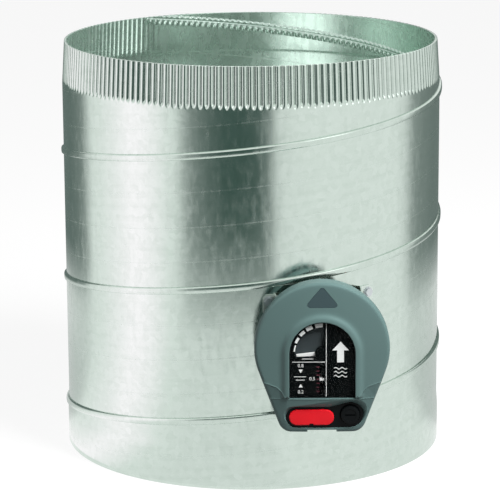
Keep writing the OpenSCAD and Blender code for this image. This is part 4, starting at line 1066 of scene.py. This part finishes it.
def area_lamp(name, place, aim, size, power, glossy=False, diffuse=True):
    """A flat lamp of a width and a height, with the kinds of ray that it lights."""
    lamp = bpy.data.lights.new(name, "AREA")
    lamp.shape = "RECTANGLE"
    lamp.size, lamp.size_y = size
    lamp.energy = power
    holder = placed(name, lamp)
    holder.location = place
    holder.rotation_euler = (Vector(aim) - Vector(place)).to_track_quat("-Z", "Y").to_euler()
    holder.visible_glossy, holder.visible_diffuse = glossy, diffuse


def seen_share(add):
    """One for rays from the camera, mirrors and glass, and nothing for the rays that light the object."""
    path = add("LightPath").node.outputs
    share = add("Math", {0: path["Is Camera Ray"], 1: path["Is Glossy Ray"]}, operation="MAXIMUM")
    return add("Math", {0: share, 1: path["Is Transmission Ray"]}, operation="MAXIMUM")


def build_room(scene, level):
    """A white room that lights the object softly, and a pale floor."""
    scene.world = bpy.data.worlds.new("studio")
    add = cleared(scene.world)
    lit = add("Background", {"Color": WHITE, "Strength": level})
    seen = add("Background", {"Color": WHITE, "Strength": 1.0})
    add("OutputWorld", {"Surface": add("MixShader", {0: seen_share(add), 1: lit, 2: seen})})

    mesh = bpy.data.meshes.new("floor")
    corners = ((-1, -1), (1, -1), (1, 1), (-1, 1))
    mesh.from_pydata([(x * FLOOR_HALF_W, y * FLOOR_HALF_W, 0) for x, y in corners], [], [(0, 1, 2, 3)])
    floor = placed("floor", mesh)
    floor.location.z = -FLOOR_GAP
    material = bpy.data.materials.new("painted_studio_floor")
    add = cleared(material)
    paint = add("BsdfDiffuse", {"Color": rgba("#707070")})
    lift = add("Math", {0: seen_share(add), 1: scene.damper_studio.floor_lift}, operation="MULTIPLY")
    total = add("AddShader", {0: paint, 1: add("Emission", {"Color": WHITE, "Strength": lift})})
    # Mirrors see an even white, so that the steel's tone doesn't follow the lamps' pool on the floor
    mirror = add("LightPath", out="Is Glossy Ray")
    both = add("MixShader", {0: mirror, 1: total, 2: add("Emission", {"Color": WHITE, "Strength": 1.0})})
    add("OutputMaterial", {"Surface": both})
    mesh.materials.append(material)


def build_camera(scene):
    """The camera at the photo's viewing angle."""
    tilt, roll = CAMERA_TILT, CAMERA_ROLL
    ahead = Vector((0, math.cos(tilt), -math.sin(tilt)))
    right, up = Vector((1, 0, 0)), Vector((0, math.sin(tilt), math.cos(tilt)))
    right, up = right * math.cos(roll) - up * math.sin(roll), up * math.cos(roll) + right * math.sin(roll)
    lens = bpy.data.cameras.new("camera")
    lens.lens, lens.sensor_width, lens.sensor_fit = CAMERA_LENS, CAMERA_SENSOR, "HORIZONTAL"
    lens.shift_x, lens.shift_y = CAMERA_SHIFT
    lens.clip_start, lens.clip_end = 0.05, 100
    camera = placed("camera", lens)
    camera.matrix_world = Matrix.Translation(CAMERA_PLACE) @ Matrix((right, up, -ahead)).transposed().to_4x4()
    scene.camera = camera


class StageBuild(bpy.types.Operator):
    """Sets up the pale floor, soft lamps, flags and the camera"""
    bl_idname = "damper.stage"
    bl_label = "Studio"

    def execute(self, context):
        settings = context.scene.damper_studio
        context.scene.view_settings.view_transform = "Standard"
        build_room(context.scene, settings.room_level)
        area_lamp("key_lamp", (0.68, -0.72, 1.2), (0.06, -0.2, 0.14), (0.7, 0.7), settings.key_power)
        area_lamp("fill_lamp", (-1.7, -1.3, 1.9), (0, 0, 0.2), (1.6, 1.6), settings.fill_power)
        # A strip lamp hung in the mouth of the duct draws the bright band down its inner wall
        area_lamp("strip_lamp", (-0.115, -0.06, 0.285), (0.061, 0.167, 0.285), (0.13, 0.17),
                  settings.strip_power, glossy=True, diffuse=False)
        for side, columns, rows in (("front", FLAG_FRONT, FRONT_ROWS), ("left", FLAG_LEFT, SIDE_ROWS),
                                    ("right", FLAG_RIGHT, SIDE_ROWS)):
            glossy_card("flag_" + side, columns, rows, settings.flag_level, FLAG_TINT)
        glossy_card("reflector_left", REFLECTOR, REFLECTOR_ROWS, 1.45, "#FFF1FA")
        glossy_card("reflector_upper", UPPER_CARD, UPPER_ROWS, 2.4, "#FFFFFF")
        build_camera(context.scene)
        return {"FINISHED"}


# Settings and panel

# What the lengths, the angles and the colours among the settings share
LENGTH = {"unit": "LENGTH", "subtype": "DISTANCE", "precision": 4}
TILT = {"unit": "ROTATION", "subtype": "ANGLE"}
COLOUR = {"size": 3, "subtype": "COLOR", "min": 0, "max": 1}


class DuctSettings(bpy.types.PropertyGroup):
    crimp_count: bpy.props.IntProperty(
        name="Crimps", description="Grooves rolled into the upper end", default=184, min=60, max=260)
    crimp_depth: bpy.props.FloatProperty(
        name="Crimp depth", description="Depth of each groove", default=0.0017, min=0.0005, max=0.0022,
        **LENGTH)
    seam_rise: bpy.props.FloatProperty(
        name="Seam rise", description="How far the folded seam stands off the sheet", default=0.0023,
        min=0.0005, max=0.0024, **LENGTH)
    steel_colour: bpy.props.FloatVectorProperty(
        name="Steel colour", description="Colour of the bright zinc", default=linear("#D2DFD7"), **COLOUR)


class BoxSettings(bpy.types.PropertyGroup):
    bezel_width: bpy.props.FloatProperty(
        name="Window frame width", description="Width of the raised frame round the window", default=0.0085,
        min=0.002, max=0.01, **LENGTH)
    bezel_rise: bpy.props.FloatProperty(
        name="Window frame rise", description="Height of the frame above the face", default=0.0025,
        min=0.0005, max=0.0025, **LENGTH)
    chin_tilt: bpy.props.FloatProperty(
        name="Chin slope", description="Angle by which the chin lies back", default=math.radians(9.6),
        min=0, max=0.25, **TILT)
    cheek_tilt: bpy.props.FloatProperty(
        name="Cheek slope", description="Angle by which the lower corners lie back", default=math.radians(11),
        min=0, max=0.3, **TILT)
    shell_colour: bpy.props.FloatVectorProperty(
        name="Shell colour", description="Grey of the cover and base", default=linear("#556C6A"), **COLOUR)
    badge_colour: bpy.props.FloatVectorProperty(
        name="Badge colour", description="Red of the badge", default=linear("#DC1A26"), **COLOUR)


class StudioSettings(bpy.types.PropertyGroup):
    room_level: bpy.props.FloatProperty(
        name="Room light", description="Level of the even light of the room", default=0.14, min=0, max=2)
    floor_lift: bpy.props.FloatProperty(
        name="Floor lift", description="White added to the floor where it is seen", default=0.9, min=0, max=1)
    key_power: bpy.props.FloatProperty(
        name="Key lamp", description="Power of the large lamp at the upper right", default=42, min=0,
        unit="POWER")
    fill_power: bpy.props.FloatProperty(
        name="Fill lamp", description="Power of the large lamp at the left", default=5, min=0, unit="POWER")
    strip_power: bpy.props.FloatProperty(
        name="Strip lamp", description="Power of the small lamp in the duct's mouth", default=0.12, min=0,
        unit="POWER")
    flag_level: bpy.props.FloatProperty(
        name="Flag level", description="Brightness of the dark flags in the steel", default=0.31, min=0,
        max=2)


BUILDS = (DuctBuild, SeamsBuild, CoverBuild, ArrowBuild, FasciaBuild, WindowBuild, DialBuild, PointerBuild,
          BadgeBuild, KnobBuild, SpringBuild, NodesDress, StageBuild)
GROUPS = {"damper_duct": DuctSettings, "damper_box": BoxSettings, "damper_studio": StudioSettings}


class DamperPanel(bpy.types.Panel):
    """Lists the damper's settings and pieces"""
    bl_idname = "VIEW3D_PT_damper"
    bl_label = "Damper"
    bl_space_type = "VIEW_3D"
    bl_region_type = "UI"
    bl_category = "Damper"

    def draw(self, context):
        for name, group in GROUPS.items():
            part = self.layout.box()
            for key in group.__annotations__:
                part.prop(getattr(context.scene, name), key)
        for build in BUILDS:
            self.layout.operator(build.bl_idname)


CLASSES = (*GROUPS.values(), *BUILDS, DamperPanel)


def register():
    for made in CLASSES:
        bpy.utils.register_class(made)
    for name, group in GROUPS.items():
        setattr(bpy.types.Scene, name, bpy.props.PointerProperty(type=group))


def unregister():
    for name in GROUPS:
        delattr(bpy.types.Scene, name)
    for made in reversed(CLASSES):
        bpy.utils.unregister_class(made)


def main():
    register()
    scene = bpy.context.scene
    MATERIALS.update(make_materials(scene.damper_duct, scene.damper_box))
    for build in BUILDS:
        group, name = build.bl_idname.split(".")
        getattr(getattr(bpy.ops, group), name)()


if __name__ == "__main__":
    main()
